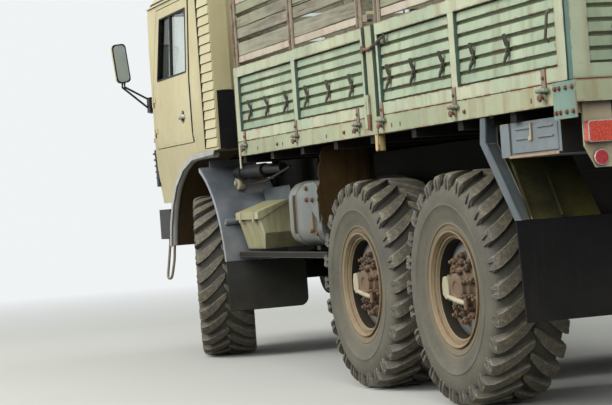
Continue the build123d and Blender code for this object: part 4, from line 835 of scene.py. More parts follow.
def addLug(bm, layer, side, start, wear):
    shares = ((-1.12, 1.0), (-1.03, 0.25), (-0.9, 0.0), (0.9, 0.0), (1.03, 0.25), (1.12, 1.0))
    rings = [[roundPoint(side * y, top - wear + (bottom - top) * deep, start + lead + half * share)
              for share, deep in shares] for y, lead, half, top, bottom in lugSections]
    addLoft(bm, rings, layer, (0.45, 0.8, 1.0, 1.0, 0.8, 0.45))
    for offset in (-tyreLook["finApart"], tyreLook["finApart"]):
        shares = ((-1.25, 0.014), (-0.8, 0.0), (0.8, 0.0), (1.25, 0.014))
        rings = [[roundPoint(side * (y - inward), radius - inward, start + offset + half * share)
                  for share, inward in shares] for y, radius, half in finSections]
        addLoft(bm, rings, layer, (0.35, 0.7, 0.7, 0.35))


def buildForm(name, bm, names, sharp):
    bmesh.ops.recalc_face_normals(bm, faces=bm.faces)
    return smoothFaces(closeMesh(name, bm, names), sharp)


def buildTyre(name):
    look = tyreLook
    bm = bmesh.new()
    layer = bm.verts.layers.float.new("tread")
    addLathe(bm, [(radius, -y) for radius, y in reversed(carcassProfile[1:])] + list(carcassProfile), 104)
    for vertex in bm.verts:
        radius = Vector((vertex.co.x, 0, vertex.co.z)).length
        # below 0 toward the dusty bead
        vertex[layer] = 0.4 if radius > look["wallTop"] else min(0.0, (radius - look["bead"]) * 7)
    draw = random.Random(5)
    pitch = 2 * pi * look["radius"] / look["lugs"]
    for index in range(look["lugs"]):
        for side in (1, -1):
            addLug(bm, layer, side, (index + (0.5 if side < 0 else 0)) * pitch, draw.uniform(0, look["wear"]))
    return buildForm(name, bm, ("tyreRubber",), 32)


def buildRim(name):
    bm = bmesh.new()
    addLathe(bm, rimProfile, 96, 0)
    for face in bm.faces:                                            # the barrel takes the dark chassis paint as painted shade
        middle = face.calc_center_median()
        if Vector((middle.x, 0, middle.z)).length < tyreLook["barrel"]:
            face.material_index = 2
    addLathe(bm, discProfile, 80, 1)
    addLathe(bm, drumProfile, 64, 2)
    addLathe(bm, hubProfile, 48, 3, closed=False)
    block = ((0.07, -0.045), (0.118, -0.052), (0.148, -0.03), (0.152, 0.02), (0.136, 0.06), (0.092, 0.066),
             (0.072, 0.03))
    addPlate(bm, block, 0.03, sidePlace(0.138, 1), 4)               # valve block and its T pipe
    addTube(bm, ((0.1, 0.158, -0.04), (-0.02, 0.168, -0.056), (-0.125, 0.164, -0.068)), 0.0135, 12, 4)
    addTube(bm, ((-0.125, 0.164, -0.098), (-0.125, 0.164, -0.04)), 0.011, 10, 3)
    return buildForm(name, bm, ("rimPaint", "wheelDiscPaint", "chassisPaint", "rustyHub", "creamPaint"), 38)


def setMesh(name, source, place, body, node, mirrored=False):
    mesh = source.copy()
    if mirrored:
        mesh.transform(Matrix.Diagonal((-1, 1, 1, 1)))
        mesh.flip_normals()
    mesh.transform(place)
    return placePiece(showObject(name, mesh), body, (node,))


def buildWheels():
    tyre, rim = buildTyre("tyreForm"), buildRim("rimForm")
    low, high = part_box("spare_tyre")
    places = [("spare_tyre", "spare_rim", (low + high) / 2, Vector((-1, 0, 0)))]
    for joint in frame["joints"]:
        if joint["name"].endswith("_spin"):
            label = joint["child"].replace("wheel_", "")
            centre = Vector(joint["pos_m"])
            places.append(("tyre_" + label, "rim_" + label, centre,
                           Vector(joint["axis"]) * (1 if centre.y > 0 else -1)))
    for tyreNode, rimNode, centre, outward in places:
        place = Matrix.Translation(centre) @ Matrix.Rotation(atan2(-outward.x, outward.y), 4, "Z")
        body = bodyOf[tyreNode]
        setMesh("treaded_" + tyreNode, tyre, place, body, tyreNode, centre.y < 0)
        setMesh("stepped_" + rimNode, rim, place, body, rimNode)
        turn = (place.to_3x3() @ Matrix.Rotation(-pi / 2, 3, "X")).to_euler()
        for index, (count, radius, y, size) in enumerate(nutRings):
            angles = [2 * pi * (k + 0.5) / count for k in range(count)]
            spots = [(place @ Vector((radius * cos(a), y, radius * sin(a))), turn) for a in angles]
            spread(f"nuts_{tyreNode}_{index}", wheelNut, spots, "rustyHub", body, size=size,
                   seed=index + 3)
    print("wheels:", len(places))


buildWheels()


# Bed: panels with seams in painted shade, racks of planks, hooks, hinges and what hangs from the sill

panelLook = {"proud": -0.0008, "rail": 0.006, "rib": 0.024, "shade": 0.04}     # depths behind the outer face


def panelPick(axis, face, sign):
    # finish by how deep a face lies behind the panel's outer face
    look = panelLook

    def pick(centre, normal):
        depth = (face - centre[axis]) * sign
        along = 1 - axis
        if depth < look["proud"]:
            return "rackPost"
        if abs(normal[along]) > 0.7 and 0 < depth < look["shade"]:
            return "ribShade"
        if normal[axis] * sign > 0.6:
            # the deepest outward faces, the seams, take painted shade
            return "railPaint" if depth < look["rail"] else "bedPaint" if depth < look["rib"] else "seamDirt"
        return "bedPaint"
    return pick


panelFinishes = ("bedPaint", "railPaint", "seamDirt", "ribShade", "rackPost")
bedLook = {"outer": 1.25, "floorBoards": (17, 0.037, 0.004),         # count, thickness and gap
           "frontHinges": (0.981, -0.087, -1.169), "rearHinges": (-1.539, -2.512, -3.493),
           "frontHooks": (0.859, 0.495, 0.104, -0.29, -0.677, -1.063),
           "rearHooks": (-1.64, -1.979, -2.36, -2.731, -3.117), "hookZ": 1.727, "hookFace": 1.233,
           "gateFace": -3.7905, "gateHooks": (-1.05, -0.72, -0.35, 0.0, 0.35, 0.72, 1.05)}


def framePick(centre, normal):
    x, y, z = centre[0], abs(centre[1]), centre[2]
    if x < -3.715 and y > 1.055 and z < 1.46:
        return "creamPaint"
    if z < 1.4345:
        return "socketYellow" if y > 1.18 and -1.45 < x < -1.35 else "chassisPaint"
    if y > 1.2505:
        return "platePaint"
    if y < 1.2 and z < 1.53 and x > -3.7:
        return "chassisPaint"
    if z > 1.533 and abs(normal[0]) > 0.7 and y > 1.227:
        return "ribShade"
    return "railPaint" if z > 1.533 else "sillPaint"


def headPick(centre, normal):
    if centre[2] > 2.035:
        return "plankWood" if centre[0] > 1.124 else "rackPost"
    return panelPick(0, 1.15, 1)(centre, normal)


rackLook = {"planks": ((0.045, 0.131), (0.16, 0.228), (0.233, 0.301), (0.329, 0.391)), "planksBack": 1.2205,
            "plankThick": 0.021, "bottom": 2.058, "railTop": 0.042, "topRail": (0.392, 0.452),
            "posts": {"front": (1.085, -0.085, -1.265), "rear": (-1.54, -2.52, -3.655)}, "postHalf": 0.03,
            "postWall": 0.004, "postFoot": 2.029, "postTop": 2.51, "face": 1.232, "railThick": 0.024,
            "endGap": 0.006,
            "seeds": {"left_front": 11, "left_rear": 12, "right_front": 13, "right_rear": 14}}


def buildRack(side, end, out):
    node, label, look = f"rack_{side}_{end}", f"{side}_{end}", rackLook
    low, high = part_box(node)
    body, bottom, foot, top = bodyOf[node], look["bottom"], look["postFoot"], look["postTop"]
    middle = (low[0] + high[0]) / 2
    planks = [(Vector((middle, out * look["planksBack"], bottom + (a + b) / 2)), (0, 0, 0),
               (high[0] - low[0] - look["endGap"], look["plankThick"], b - a)) for a, b in look["planks"]]
    spread(f"planks_{label}", plankPart, planks, "plankWood", body, loose=(0.05, 0.0012, 0.0005),
           seed=look["seeds"][label], warp=0.009)
    bm = bmesh.new()
    face, half, wall = look["face"], look["postHalf"], look["postWall"]
    for rise, upper in ((0, look["railTop"]), look["topRail"]):
        inner = face - look["railThick"]
        addForms(bm, out, ("box", (low[0], inner, bottom + rise), (high[0], face, bottom + upper)))
    for x in look["posts"][end]:
        addForms(bm, out, ("box", (x - half, face, foot), (x + half, face + wall, top), 1),
                 *(("box", (x + flange * half, face, foot), (x + flange * (half - wall), bedLook["outer"], top))
                   for flange in (-1, 1)))
    finishPiece("railed_" + node, bm, ("rackRail", "rackPost"), body, 0.0015, (node,))
    spots = [(x, bottom + (a + b) / 2) for x in look["posts"][end] for a, b in look["planks"]]
    spots = sideSpots(out, face + wall, spots)
    spread(f"rackBolts_{label}", smallBolt, spots, "rustySteel", body, size=0.8)


def buildHinges():
    look = bedLook
    pins = bmesh.new()
    for out in (1, -1):
        for x in look["frontHinges"] + look["rearHinges"]:
            addForms(pins, out, ("box", (x - 0.012, 1.2505, 1.462), (x + 0.012, 1.258, 1.512)),
                     ("bar", ((x - 0.05, 1.268, 1.505), (x + 0.05, 1.268, 1.505)), 0.0065, 10))
        addForms(pins, out, ("box", (1.099, 1.2505, 1.352), (1.131, 1.255, 1.5)))
    finishPiece("hingePins", pins, "railPaint", "chassis", 0.001)
    for side, out in sides:
        turn = (0, 0, 0 if out > 0 else pi)
        for end in ("front", "rear"):
            label, body = f"{side}_{end}", bodyOf[f"board_{side}_{end}"]
            spots = [(Vector((x, out * look["hookFace"], look["hookZ"])), turn) for x in look[end + "Hooks"]]
            spread("hooks_" + label, tarpHook, spots, "hookPaint", body, size=0.92,
                   loose=(0.05, 0.12, 0.05), seed=len(spots) + out)
            hinges = look[end + "Hinges"]
            knobs = sideSpots(out, 1.26, [(x + 0.004, 1.474) for x in hinges])
            spread("hingeKnobs_" + label, hingeKnob, knobs, "rustySteel", body, size=1.1,
                   loose=(0.12, 0.12, 0), seed=21)
            spread("hingeRivets_" + label, smallBolt, sideSpots(out, 1.2545, [(x, 1.56) for x in hinges]),
                   "rustySteel", body, size=0.8)
    gate = [(Vector((look["gateFace"], y, look["hookZ"])), (0, 0, pi / 2)) for y in look["gateHooks"]]
    spread("hooks_tailgate", tarpHook, gate, "hookPaint", "tailgate",
           loose=(0.12, 0.05, 0.05), seed=9)


def buildLatches():
    # centre post's lever, lug and strap, the U handle at the rear and what is bolted to the sill
    y = bedLook["outer"] + 0.0015               # just clear of the panels' outer face
    for side, out in sides:
        bm = bmesh.new()
        addForms(bm, out, ("bar", ((-1.325, y, 1.905), (-1.325, y + 0.014, 1.905)), 0.022, 14),
                 ("bar", ((-1.325, y + 0.006, 1.905), (-1.42, y + 0.008, 1.898), (-1.49, y + 0.006, 1.915)),
                  (0.01, 0.008, 0.008), 10),
                 ("box", (-1.372, y, 1.545), (-1.34, y + 0.012, 1.655), 1),
                 ("plate", ((-1.33, 1.62), (-1.29, 1.56), (-1.3, 1.47), (-1.338, 1.47)), 0.01, y, 1),
                 ("plate", ((-1.34, 1.545), (-1.378, 1.545), (-1.372, 1.462), (-1.344, 1.462)), 0.012, y),
                 ("box", (-1.462, y, 1.372), (-1.446, y + 0.004, 1.48), 1),
                 ("bar", ((-1.454, y, 1.376), (-1.455, y, 1.35), (-1.44, y + 0.006, 1.342)),
                  (0.008, 0.007, 0.004), 8, 1))
        finishPiece(f"postLatch_{side}", bm, ("rustySteel", "railPaint"), "chassis", 0.0015)
        rear = bmesh.new()
        addForms(rear, out,
                 ("bar", ((-1.51, y, 1.918), (-1.59, y + 0.008, 1.935), (-1.64, y + 0.004, 1.945)), 0.008, 10),
                 ("bar", ((-1.636, y, 1.905), (-1.636, y, 1.965)), 0.007, 10),
                 ("bar", ((-3.57, y, 1.71), (-3.57, y + 0.018, 1.725), (-3.59, y + 0.02, 1.78),
                          (-3.6, y + 0.018, 1.835), (-3.6, y, 1.85)), 0.007, 10))
        finishPiece(f"boardCatch_{side}", rear, "hookPaint", bodyOf[f"board_{side}_rear"])
        spots = sideSpots(out, 1.255, [(x, z) for x in (-3.76, -3.7, -3.64, -3.6) for z in (1.398, 1.502)])
        spots += sideSpots(out, 1.25, [(x, 1.474) for x in (0.3, -0.93, -2.62)])
        spread(f"sillBolts_{side}", smallBolt, spots, "rustySteel", "chassis", size=0.9)
        # the sill's slots are thin boxes in painted shade
        slots = [(Vector((x, out * 1.25, 1.47)), (0, 0, 0), (0.012, 0.003, 0.022))
                 for x in (0.72, 0.2, -0.62, -1.06, -1.66, -1.78, -3.35)]
        spread(f"sillSlots_{side}", slatPart, slots, "seamDirt", "chassis")


def buildBed():
    for side, out in sides:
        for end in ("front", "rear"):
            pick = panelPick(1, out * bedLook["outer"], out)
            dressNode(f"board_{side}_{end}", panelFinishes, 0.003, pick=pick)
            buildRack(side, end, out)
    dressNode("tailgate", panelFinishes, 0.003, pick=panelPick(0, -3.76, -1))
    dressNode("headboard", (*panelFinishes, "plankWood"), 0.003, pick=headPick)
    dressNode("bed_frame", ("sillPaint", "railPaint", "ribShade", "creamPaint", "socketYellow", "chassisPaint",
                            "platePaint"), 0.0025, pick=framePick)
    low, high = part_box("bed_floor")
    count, thick, gap = bedLook["floorBoards"]
    width = (high[1] - low[1]) / count
    x, y, z = (low + high) / 2
    boards = [(Vector((x, low[1] + (k + 0.5) * width, z)), (pi / 2, 0, 0),
               (high[0] - low[0], thick, width - gap)) for k in range(count)]
    piece = spread("floorPlanks", plankPart, boards, "floorWood", "chassis", seed=31, warp=0.002)
    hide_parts("bed_floor")
    buildHinges()
    buildLatches()
    print("bed dressed")


buildBed()


# Cab: paint, seals, seats, duct, mirrors and small parts

# half widths of the cab at its skirt, from crease to waist and at the eave, and the heights of those lines
cabLook = {"waist": 2.05, "waistHalf": 1.24, "eave": 2.71, "eaveHalf": 1.205, "skirt": 1.17, "skirtHalf": 1.16,
           "crease": 1.65, "vent": 2.835, "screen": (2.09, 2.69, 1.04),     # screen: bottom, top, half width
           "window": (2.385, 3.225, 3.135, 2.12, 2.59)}     # rear, front below, front above, bottom, top


def cabSide(z):
    # half width of the cab's side at a height
    look = cabLook
    if z > look["waist"]:
        return look["waistHalf"] - (z - look["waist"]) / (look["eave"] - look["waist"]) * (
            look["waistHalf"] - look["eaveHalf"])
    if z > look["crease"]:
        return look["waistHalf"]
    return look["skirtHalf"] + (z - look["skirt"]) / (look["crease"] - look["skirt"]) * (
        look["waistHalf"] - look["skirtHalf"])


def surfaceOf(node):
    mesh = nodes[node].data
    return BVHTree.FromPolygons([v.co.copy() for v in mesh.vertices],
                                [tuple(p.vertices) for p in mesh.polygons])


def sideTouch(surface, x, z, out):
    # where a ray from the side meets the cab
    spot = surface.ray_cast(Vector((x, out * 3, z)), Vector((0, -out, 0)))[0]
    return spot.y if spot else out * cabSide(z)


def buildCabTrim(side, out, shell):
    # seam before the duct and its sleeve, door gap, corner louvres, roof seam and mirror foot
    edge = out * sideTouch(shell, 3.56, 1.58, out)
    x, foot, top = 2.304, 1.6, 2.66
    # the door gap is a black bar half sunk in the side: a painted shadow in the gap
    gap = [(x, out * sideTouch(shell, x + 0.01, z, out) - 0.011, z)
           for z in (foot + (top - foot) * k / 12 for k in range(13))]
    louvres = []
    for step in range(6):
        z, reach = 1.31 + step * 0.048, edge + 0.006 + 0.0035 * step
        louvres += [("box", (3.55, 1.1, z), (3.62, reach, z + 0.046)),
                    ("box", (3.54, 1.12, z + 0.012), (3.63, reach + 0.01, z + 0.026))]
    roof = [(x, out * sideTouch(shell, x, 2.735, out), 2.735) for x in (2.04, 2.3, 2.6, 2.9, 3.2, 3.45)]
    lines = bmesh.new()
    addForms(lines, out, ("box", (1.988, 1.225, 1.53), (2.006, 1.2412, 2.8)),
             ("box", (1.7, 1.085, 1.514), (1.735, 1.212, 1.927)),
             ("box", (3.545, 1.1, 1.305), (3.615, edge + 0.02, 1.602)), ("bar", gap, 0.018, 10), *louvres,
             ("bar", roof, 0.009, 8), ("box", (3.53, 1.15, 1.9), (3.62, 1.236, 2.02)))
    finishPiece(f"cabTrim_{side}", lines, "blackTrim", "cab", 0.002)


def shellPick(centre, normal):
    middle = Vector((2.85, 0, 2.05))
    inward = (middle - centre).normalized().dot(normal)
    x, y, z = centre
    if x > 3.58 and 2.06 < z < 2.72 and abs(y) < 1.06 and abs(normal[0]) < 0.6:
        return "blackTrim"
    # faces turned toward the middle of the cab take the painted shade of the inside
    return "cabInside" if inward > 0.25 else "khakiPaint"


def doorPick(centre, normal):
    rear, frontLow, frontHigh, low, high = cabLook["window"]
    inside = rear - 0.004 < centre[0] < frontLow + 0.004 and low - 0.004 < centre[2] < high + 0.004
    if inside and abs(normal[1]) < 0.6:
        return "blackTrim"
    outward = 1 if centre[1] > 0 else -1
    # faces turned into the cab take the painted shade of the inside
    return "cabInside" if normal[1] * outward < -0.6 else "khakiPaint"


def ductPick(centre, normal):
    y = abs(centre[1])
    if centre[2] < 1.926 and (y < 1.1885 or normal[0] < -0.5 and y < 1.224):
        return "blackTrim"
    # the flat faces between the gills take painted shade
    if abs(normal[2]) > 0.5 and y > 1.19:
        return "seamDirt"
    if y > 1.2265 and abs(normal[1]) > 0.7:
        return "gillPaint"
    return "khakiPaint"


def buildSeals():
    rear, frontLow, frontHigh, low, high = cabLook["window"]
    vent = cabLook["vent"]
    corners = ((rear, low), (rear, high), (frontHigh, high), (frontLow, low))
    shell = surfaceOf("cab_shell")
    loop = [(x, cabSide(z) - 0.002, z) for x, z in corners]
    for side, out in sides:
        bm = bmesh.new()
        addForms(bm, out, *(("bar", ends, 0.008, 8) for ends in zip(loop, loop[1:] + loop[:1])),
                 ("bar", ((vent, cabSide(low) - 0.012, low), (vent, cabSide(high) - 0.012, high)), 0.015, 8))
        finishPiece(f"windowSeal_{side}", bm, "blackTrim", f"door_{side}", sharp=60)
        handle = bmesh.new()
        addForms(handle, out, ("bar", ((2.5, 1.236, 1.8), (2.505, 1.249, 1.8), (2.6, 1.251, 1.79)),
                               (0.016, 0.016, 0.012), 12),
                 ("bar", ((2.545, 1.225, 1.825), (2.545, 1.246, 1.825)), 0.014, 12))
        finishPiece(f"doorHandle_{side}", handle, "galvanisedSteel", f"door_{side}")
        buildCabTrim(side, out, shell)
        lens = bmesh.new()
        edge = out * sideTouch(shell, 3.56, 1.672, out)
        addForms(lens, out, ("box", (3.54, edge - 0.04, 1.655), (3.6, edge + 0.026, 1.692)))
        finishPiece(f"sideMarker_{side}", lens, "orangeLens", "cab", 0.006)


def buildFace():
    # screen seals, wipers, marker lamps, a blank plate and the rings of the headlamps
    low, high, half = cabLook["screen"]
    near, x = 0.03, 3.64
    bm = bmesh.new()
    for out in (1, -1):
        loop = sided(out, ((x, near, low), (x, half, low), (x - 0.012, half, high), (x - 0.012, near, high)))
        addTube(bm, loop, 0.012, 8, closed=True)
        addForms(bm, out, ("bar", ((3.672, 0.3, 2.055), (3.668, 0.52, 2.2), (3.662, 0.62, 2.36)), 0.006, 8),
                 ("box", (3.652, 0.4, 2.335), (3.66, 0.86, 2.35)))
    finishPiece("screenTrim", bm, "blackTrim", "cab", sharp=60)
    lenses = bmesh.new()
    for y in (-0.95, -0.16, 0, 0.16, 0.95):
        addBox(lenses, (3.64, y - 0.035, 2.742), (3.676, y + 0.035, 2.768))
    finishPiece("headerMarkers", lenses, "orangeLens", "cab", 0.006)
    plate = bmesh.new()
    addBox(plate, (3.662, -0.26, 1.168), (3.67, 0.26, 1.28))
    finishPiece("blankPlate", plate, "creamPaint", "cab", 0.003)
    bezels = bmesh.new()
    ring = ((0.089, 0.0), (0.089, 0.01), (0.098, 0.0125), (0.108, 0.008), (0.11, 0.0))
    for y in (0.85, -0.85):
        place = Matrix.Translation((3.811, y, 1.0025)) @ Matrix.Rotation(-pi / 2, 4, "Z")
        addLathe(bezels, ring, 40, place=place)
    finishPiece("lampBezels", bezels, "galvanisedSteel", "chassis")


def roundedOutline(halfWide, halfHigh, radius, steps=6):
    corners = ((1, 1, 0), (-1, 1, pi / 2), (-1, -1, pi), (1, -1, 3 * pi / 2))
    return [(sx * (halfWide - radius) + radius * cos(start + pi / 2 * k / steps),
             sy * (halfHigh - radius) + radius * sin(start + pi / 2 * k / steps))
            for sx, sy, start in corners for k in range(steps + 1)]


mirrorLook = {"place": (3.7, 1.398, 2.312), "lean": 7.0, "turn": 26.0, "corner": 0.036,
              "arms": ((0.01, 1.925), (-0.014, 1.995)),          # start across the head, height of the foot
              "rings": ((0.06, 0.146, 0.003), (0.069, 0.156, 0.0), (0.07, 0.157, 0.01), (0.067, 0.153, 0.026),
                        (0.05, 0.13, 0.045))}


def buildMirrors():
    look = mirrorLook
    bm = bmesh.new()
    for out in (1, -1):
        x, y, z = look["place"]
        place = (Matrix.Translation((x, out * y, z)) @ Matrix.Rotation(radians(out * look["turn"]), 4, "Z")
                 @ Matrix.Rotation(radians(-out * look["lean"]), 4, "X"))
        rings = [[bm.verts.new(place @ Vector((depth, side, rise)))
                  for side, rise in roundedOutline(wide, tall, look["corner"])]
                 for wide, tall, depth in look["rings"]]
        joinRings(bm, rings[:3], 0, capped=False)
        joinRings(bm, rings[2:], 1, capped=False)
        bm.faces.new(rings[0]).material_index = 2
        bm.faces.new(rings[-1]).material_index = 1
        for start, foot in look["arms"]:
            top = place @ Vector((0.018, out * start, -0.15))
            addTube(bm, (top, top + Vector((0, out * 0.004, -0.04)), (3.6, out * 1.238, foot + 0.02),
                         (3.575, out * 1.205, foot)), 0.0085, 10)
        addForms(bm, out, ("box", (3.52, 1.15, 1.895), (3.63, 1.214, 2.015)))
    finishPiece("framedMirrors", bm, ("blackTrim", "khakiPaint", "mirrorGlass"), "cab",
                stands=("mirrors",), sharp=50)


seatLook = {"voxel": 0.012, "pressure": 4.0, "frames": 20, "cap": 0.024, "inset": 0.022, "channel": 0.007,
            "seamHalf": 0.014,
            "cushion": (2.425, 2.895, 1.8, 1.995), "back": (2.295, 2.415, 1.86, 2.5),
            "seats": (("driver", 0.56, 0.245, (0.0,)), ("crew", -0.5, 0.375, (-0.13, 0.13)))}


def makePad(name, low, high, lines):
    # stuffed form: a slightly small box swollen by cloth pressure, then sewn channels pressed in
    look = seatLook
    bm = bmesh.new()
    addBox(bm, [v + look["inset"] for v in low], [v - look["inset"] for v in high])
    bevelIslands(bm, 0.03, 3)
    pad = showObject(name, closeMesh(name, bm))
    pad.modifiers.new("even mesh", "REMESH").voxel_size = look["voxel"]
    settleMesh(pad)
    start = [vertex.co.copy() for vertex in pad.data.vertices]
    cloth = pad.modifiers.new("stuffing", "CLOTH")
    cloth.settings.use_pressure = True
    cloth.settings.uniform_pressure_force = look["pressure"]
    cloth.settings.effector_weights.gravity = 0
    cloth.settings.quality = 5
    cloth.point_cache.frame_start, cloth.point_cache.frame_end = 1, look["frames"]
    for step in range(1, look["frames"] + 1):
        scene.frame_set(step)
    settleMesh(pad)
    for vertex, origin in zip(pad.data.vertices, start):
        moved = vertex.co - origin
        if moved.length > look["cap"]:
            vertex.co = origin + moved * (look["cap"] / moved.length)
    scene.frame_set(1)
    pad.modifiers.new("smooth", "SUBSURF").levels = 1
    settleMesh(pad)
    middle = (low[1] + high[1]) / 2
    for vertex in pad.data.vertices:
        press = sum(max(0.0, 1 - abs(vertex.co.y - middle - line) / look["seamHalf"]) for line in lines)
        if press:
            vertex.co -= vertex.normal * look["channel"] * min(press, 1.0)
    pad.data.materials.append(finish["seatCloth"])
    pad.data.polygons.foreach_set("use_smooth", [True] * len(pad.data.polygons))
    return placePiece(pad, "cab", ())


def buildSeats():
    look = seatLook
    base = bmesh.new()
    for name, y, half, lines in look["seats"]:
        for part in ("cushion", "back"):
            rear, front, bottom, top = look[part]
            makePad(f"{name}_{part}", (rear, y - half, bottom), (front, y + half, top), lines)
        addBox(base, (2.44, y - half + 0.02, 1.585), (2.88, y + half - 0.02, 1.8))
        addBox(base, (2.294, y - half + 0.03, 1.8), (2.306, y + half - 0.03, 2.47))
        for edge in (-1, 1):
            near = y + edge * (half - 0.03)
            addTube(base, ((2.45, near, 1.79), (2.33, near, 1.86)), 0.012, 10)
    finishPiece("seatFrames", base, "blackTrim", "cab", 0.006, ("seats",))


def dashPick(centre, normal):
    return "blackTrim" if (centre - Vector((3.08, 0.56, 2.2))).length < 0.26 else "cabInside"


def buildCab():
    cabFinishes = ("khakiPaint", "cabInside", "blackTrim")
    dressNode("cab_shell", cabFinishes, 0.006, pick=shellPick)
    for side, out in sides:
        dressNode(f"door_{side}", cabFinishes, 0.005, pick=doorPick)
    dressNode("intake_duct", ("khakiPaint", "gillPaint", "seamDirt", "blackTrim"), 0.0025, pick=ductPick)
    for node in ("cab_glass", "door_glass_left", "door_glass_right"):
        nodes[node].data.materials.clear()
        nodes[node].data.materials.append(finish["windowGlass"])
    dressNode("front_grille", ("blackTrim",), 0.002)
    dressNode("dashboard", ("cabInside", "blackTrim"), 0.008, pick=dashPick)
    dressNode("front_fenders", ("fenderPaint", "fenderInside"), 0.006, pick=fenderPick)
    buildSeals()
    buildFace()
    buildMirrors()
    buildSeats()
    print("cab dressed")


def fenderPick(centre, normal):
    # the inside of the arch faces the wheel
    toWheel = Vector((2.505 - centre[0], 0, 0.6 - centre[2])).normalized()
    return "fenderInside" if toWheel.dot(normal) > 0.5 or abs(centre[1]) < 1.19 else "fenderPaint"


def arcPoints(points, steps):
    # smooth line through the points
    line = []
    for k in range(len(points) - 1):
        a, b, c, d = (Vector(points[max(0, min(len(points) - 1, k + n))]) for n in (-1, 0, 1, 2))
        for step in range(steps):
            t = step / steps
            line.append(0.5 * ((2 * b) + (c - a) * t + (2 * a - 5 * b + 4 * c - d) * t * t
                               + (3 * b - a - 3 * c + d) * t ** 3))
    return line + [Vector(points[-1])]


def buildFenderLips():
    # rolled outer lip of each front fender, fatter than it is deep
    line = ((3.195, 0.842), (3.146, 1.0), (3.05, 1.16), (2.902, 1.302), (2.668, 1.418), (2.395, 1.48),
            (1.86, 1.486))
    bm = bmesh.new()
    for out in (1, -1):
        addForms(bm, out, ("bar", [(p.x, 1.203, p.y) for p in arcPoints(line, 6)], 0.026, 14))
    finishPiece("fenderLips", bm, "fenderPaint", "cab", sharp=60)


buildCab()
buildFenderLips()


# Chassis and what hangs on it

def lampPick(centre, normal):
    if centre[0] > 0:
        return "clearLens"
    return "redLens" if centre[2] < 1.24 else "orangeLens"


def guardPick(centre, normal):
    x, y, z = centre[0], abs(centre[1]), centre[2]
    if x > 0:
        return "mudguardPaint"
    if y > 1.236:
        return "guardEdge"
    return "mossyGuard" if y < 1.17 or normal[2] < -0.4 else "mudguardPaint"


def tankPick(centre, normal):
    strap = -0.055 < centre[0] < 0.015 or 0.31 < centre[0] < 0.38
    return "splashBoard" if strap and abs(centre[1]) > 1.151 else "tankPaint"


def toolPick(centre, normal):
    if normal[0] < -0.5 and centre[0] < -3.49:
        return "chassisPaint"
    return "tornEdge" if abs(centre[1]) > 1.2005 and centre[2] < 1.25 else "toolBoxPaint"


chassisFinishes = {
    "frame_rails": "chassisPaint", "front_bumper": "blackTrim", "engine": "chassisPaint",
    "propshafts": "chassisPaint", "front_axle": "chassisPaint", "rear_axles": "chassisPaint",
    "leaf_springs": "chassisPaint", "knuckle_left": "chassisPaint", "knuckle_right": "chassisPaint",
    "spare_carrier": "chassisPaint", "air_pipes": "blackTrim", "battery_box": "batteryBoxPaint",
    "tow_hitch": "chassisPaint",
}


def buildRaggedBoards():
    # splash boards behind the tanks with a torn outer edge
    edge = ((1.12, 1.428), (1.15, 1.34), (1.166, 1.254), (1.176, 1.18), (1.184, 1.104), (1.16, 1.02),
            (1.151, 0.949), (1.128, 0.93), (1.115, 0.904))
    draw = random.Random(17)
    bm = bmesh.new()
    for out in (1, -1):
        outline = [(0.8, 1.435)]
        for (y, z), (nextY, nextZ) in zip(edge, edge[1:]):
            for share in (0, 0.34, 0.67):
                outline.append((y + (nextY - y) * share + draw.uniform(-0.01, 0.012), z + (nextZ - z) * share))
        outline += [(1.1, 0.885), (0.98, 0.872), (0.8, 0.875)]
        addPlate(bm, [(out * y, z) for y, z in outline], 0.01, frontPlace(-0.194))
    finishPiece("raggedBoards", bm, "splashBoard", "chassis", 0.001, ("guard_boards",))


def buildSteps():
    path = ((3.315, 1.165, 0.884), (3.322, 1.172, 0.8), (3.314, 1.182, 0.72), (3.33, 1.196, 0.63),
            (3.35, 1.204, 0.584), (3.4, 1.206, 0.574), (3.448, 1.205, 0.58), (3.462, 1.202, 0.61),
            (3.455, 1.19, 0.7), (3.45, 1.178, 0.79), (3.455, 1.165, 0.884))
    bm = bmesh.new()
    for out in (1, -1):
        addForms(bm, out, ("bar", arcPoints(path, 3), 0.0105, 10))
    finishPiece("stirrups", bm, "rackPost", "chassis", stands=("cab_steps",), sharp=60)


def buildTankTrim():
    # plate on the tank's strap, bar and sheets between the tank and the front guard
    outline = ((0.1, 1.21), (-0.085, 1.214), (-0.135, 1.19), (-0.135, 0.96), (-0.072, 1.001), (0.02, 1.06),
               (0.1, 1.078))
    sheet = ((1.88, 1.212), (1.273, 1.224), (1.231, 1.12), (1.86, 1.088))
    bolts = ((0.07, 1.109), (-0.039, 1.106), (0.003, 0.915), (-0.1, 0.9), (0.06, 1.18))
    for side, out in sides:
        bm = bmesh.new()
        addForms(bm, out, ("plate", outline, 0.006, 1.1565),
                 ("box", (-0.19, 1.1, 0.748), (1.64, 1.148, 0.784), 1),
                 ("box", (-0.19, 0.52, 0.742), (1.64, 1.095, 0.752), 1), ("plate", sheet, 0.004, 0.865, 2))
        finishPiece(f"tankPlates_{side}", bm, ("tankPaint", "chassisPaint", "toolBoxPaint"), "chassis",
                    0.0015)
        spread(f"tankBolts_{side}", smallBolt, sideSpots(out, 1.1625, bolts), "rustySteel", "chassis",
               size=1.3)


def buildValve():
    # round cream valve on its brown bracket, with the thin hose to the bed
    bm = bmesh.new()
    profile = ((0, 0), (0.052, 0), (0.055, 0.01), (0.055, 0.04), (0.046, 0.05), (0.02, 0.052), (0.018, 0.066),
               (0, 0.068))
    addLathe(bm, profile, 32, 0, closed=False, place=Matrix.Translation((1.908, 1.0, 1.269)))
    bracket = ((2.2, 1.33), (2.2, 1.368), (1.45, 1.29), (1.45, 1.262))
    hose = ((1.862, 1.02, 1.27), (1.55, 1.045, 1.25), (1.2, 1.055, 1.262), (0.9, 1.05, 1.306),
            (0.688, 1.05, 1.338))
    addForms(bm, 1, ("plate", bracket, 0.01, 0.982, 1), ("bar", hose, 0.008, 8, 2))
    finishPiece("brakeValve", bm, ("creamPaint", "splashBoard", "blackTrim"), "chassis",
                sharp=50)


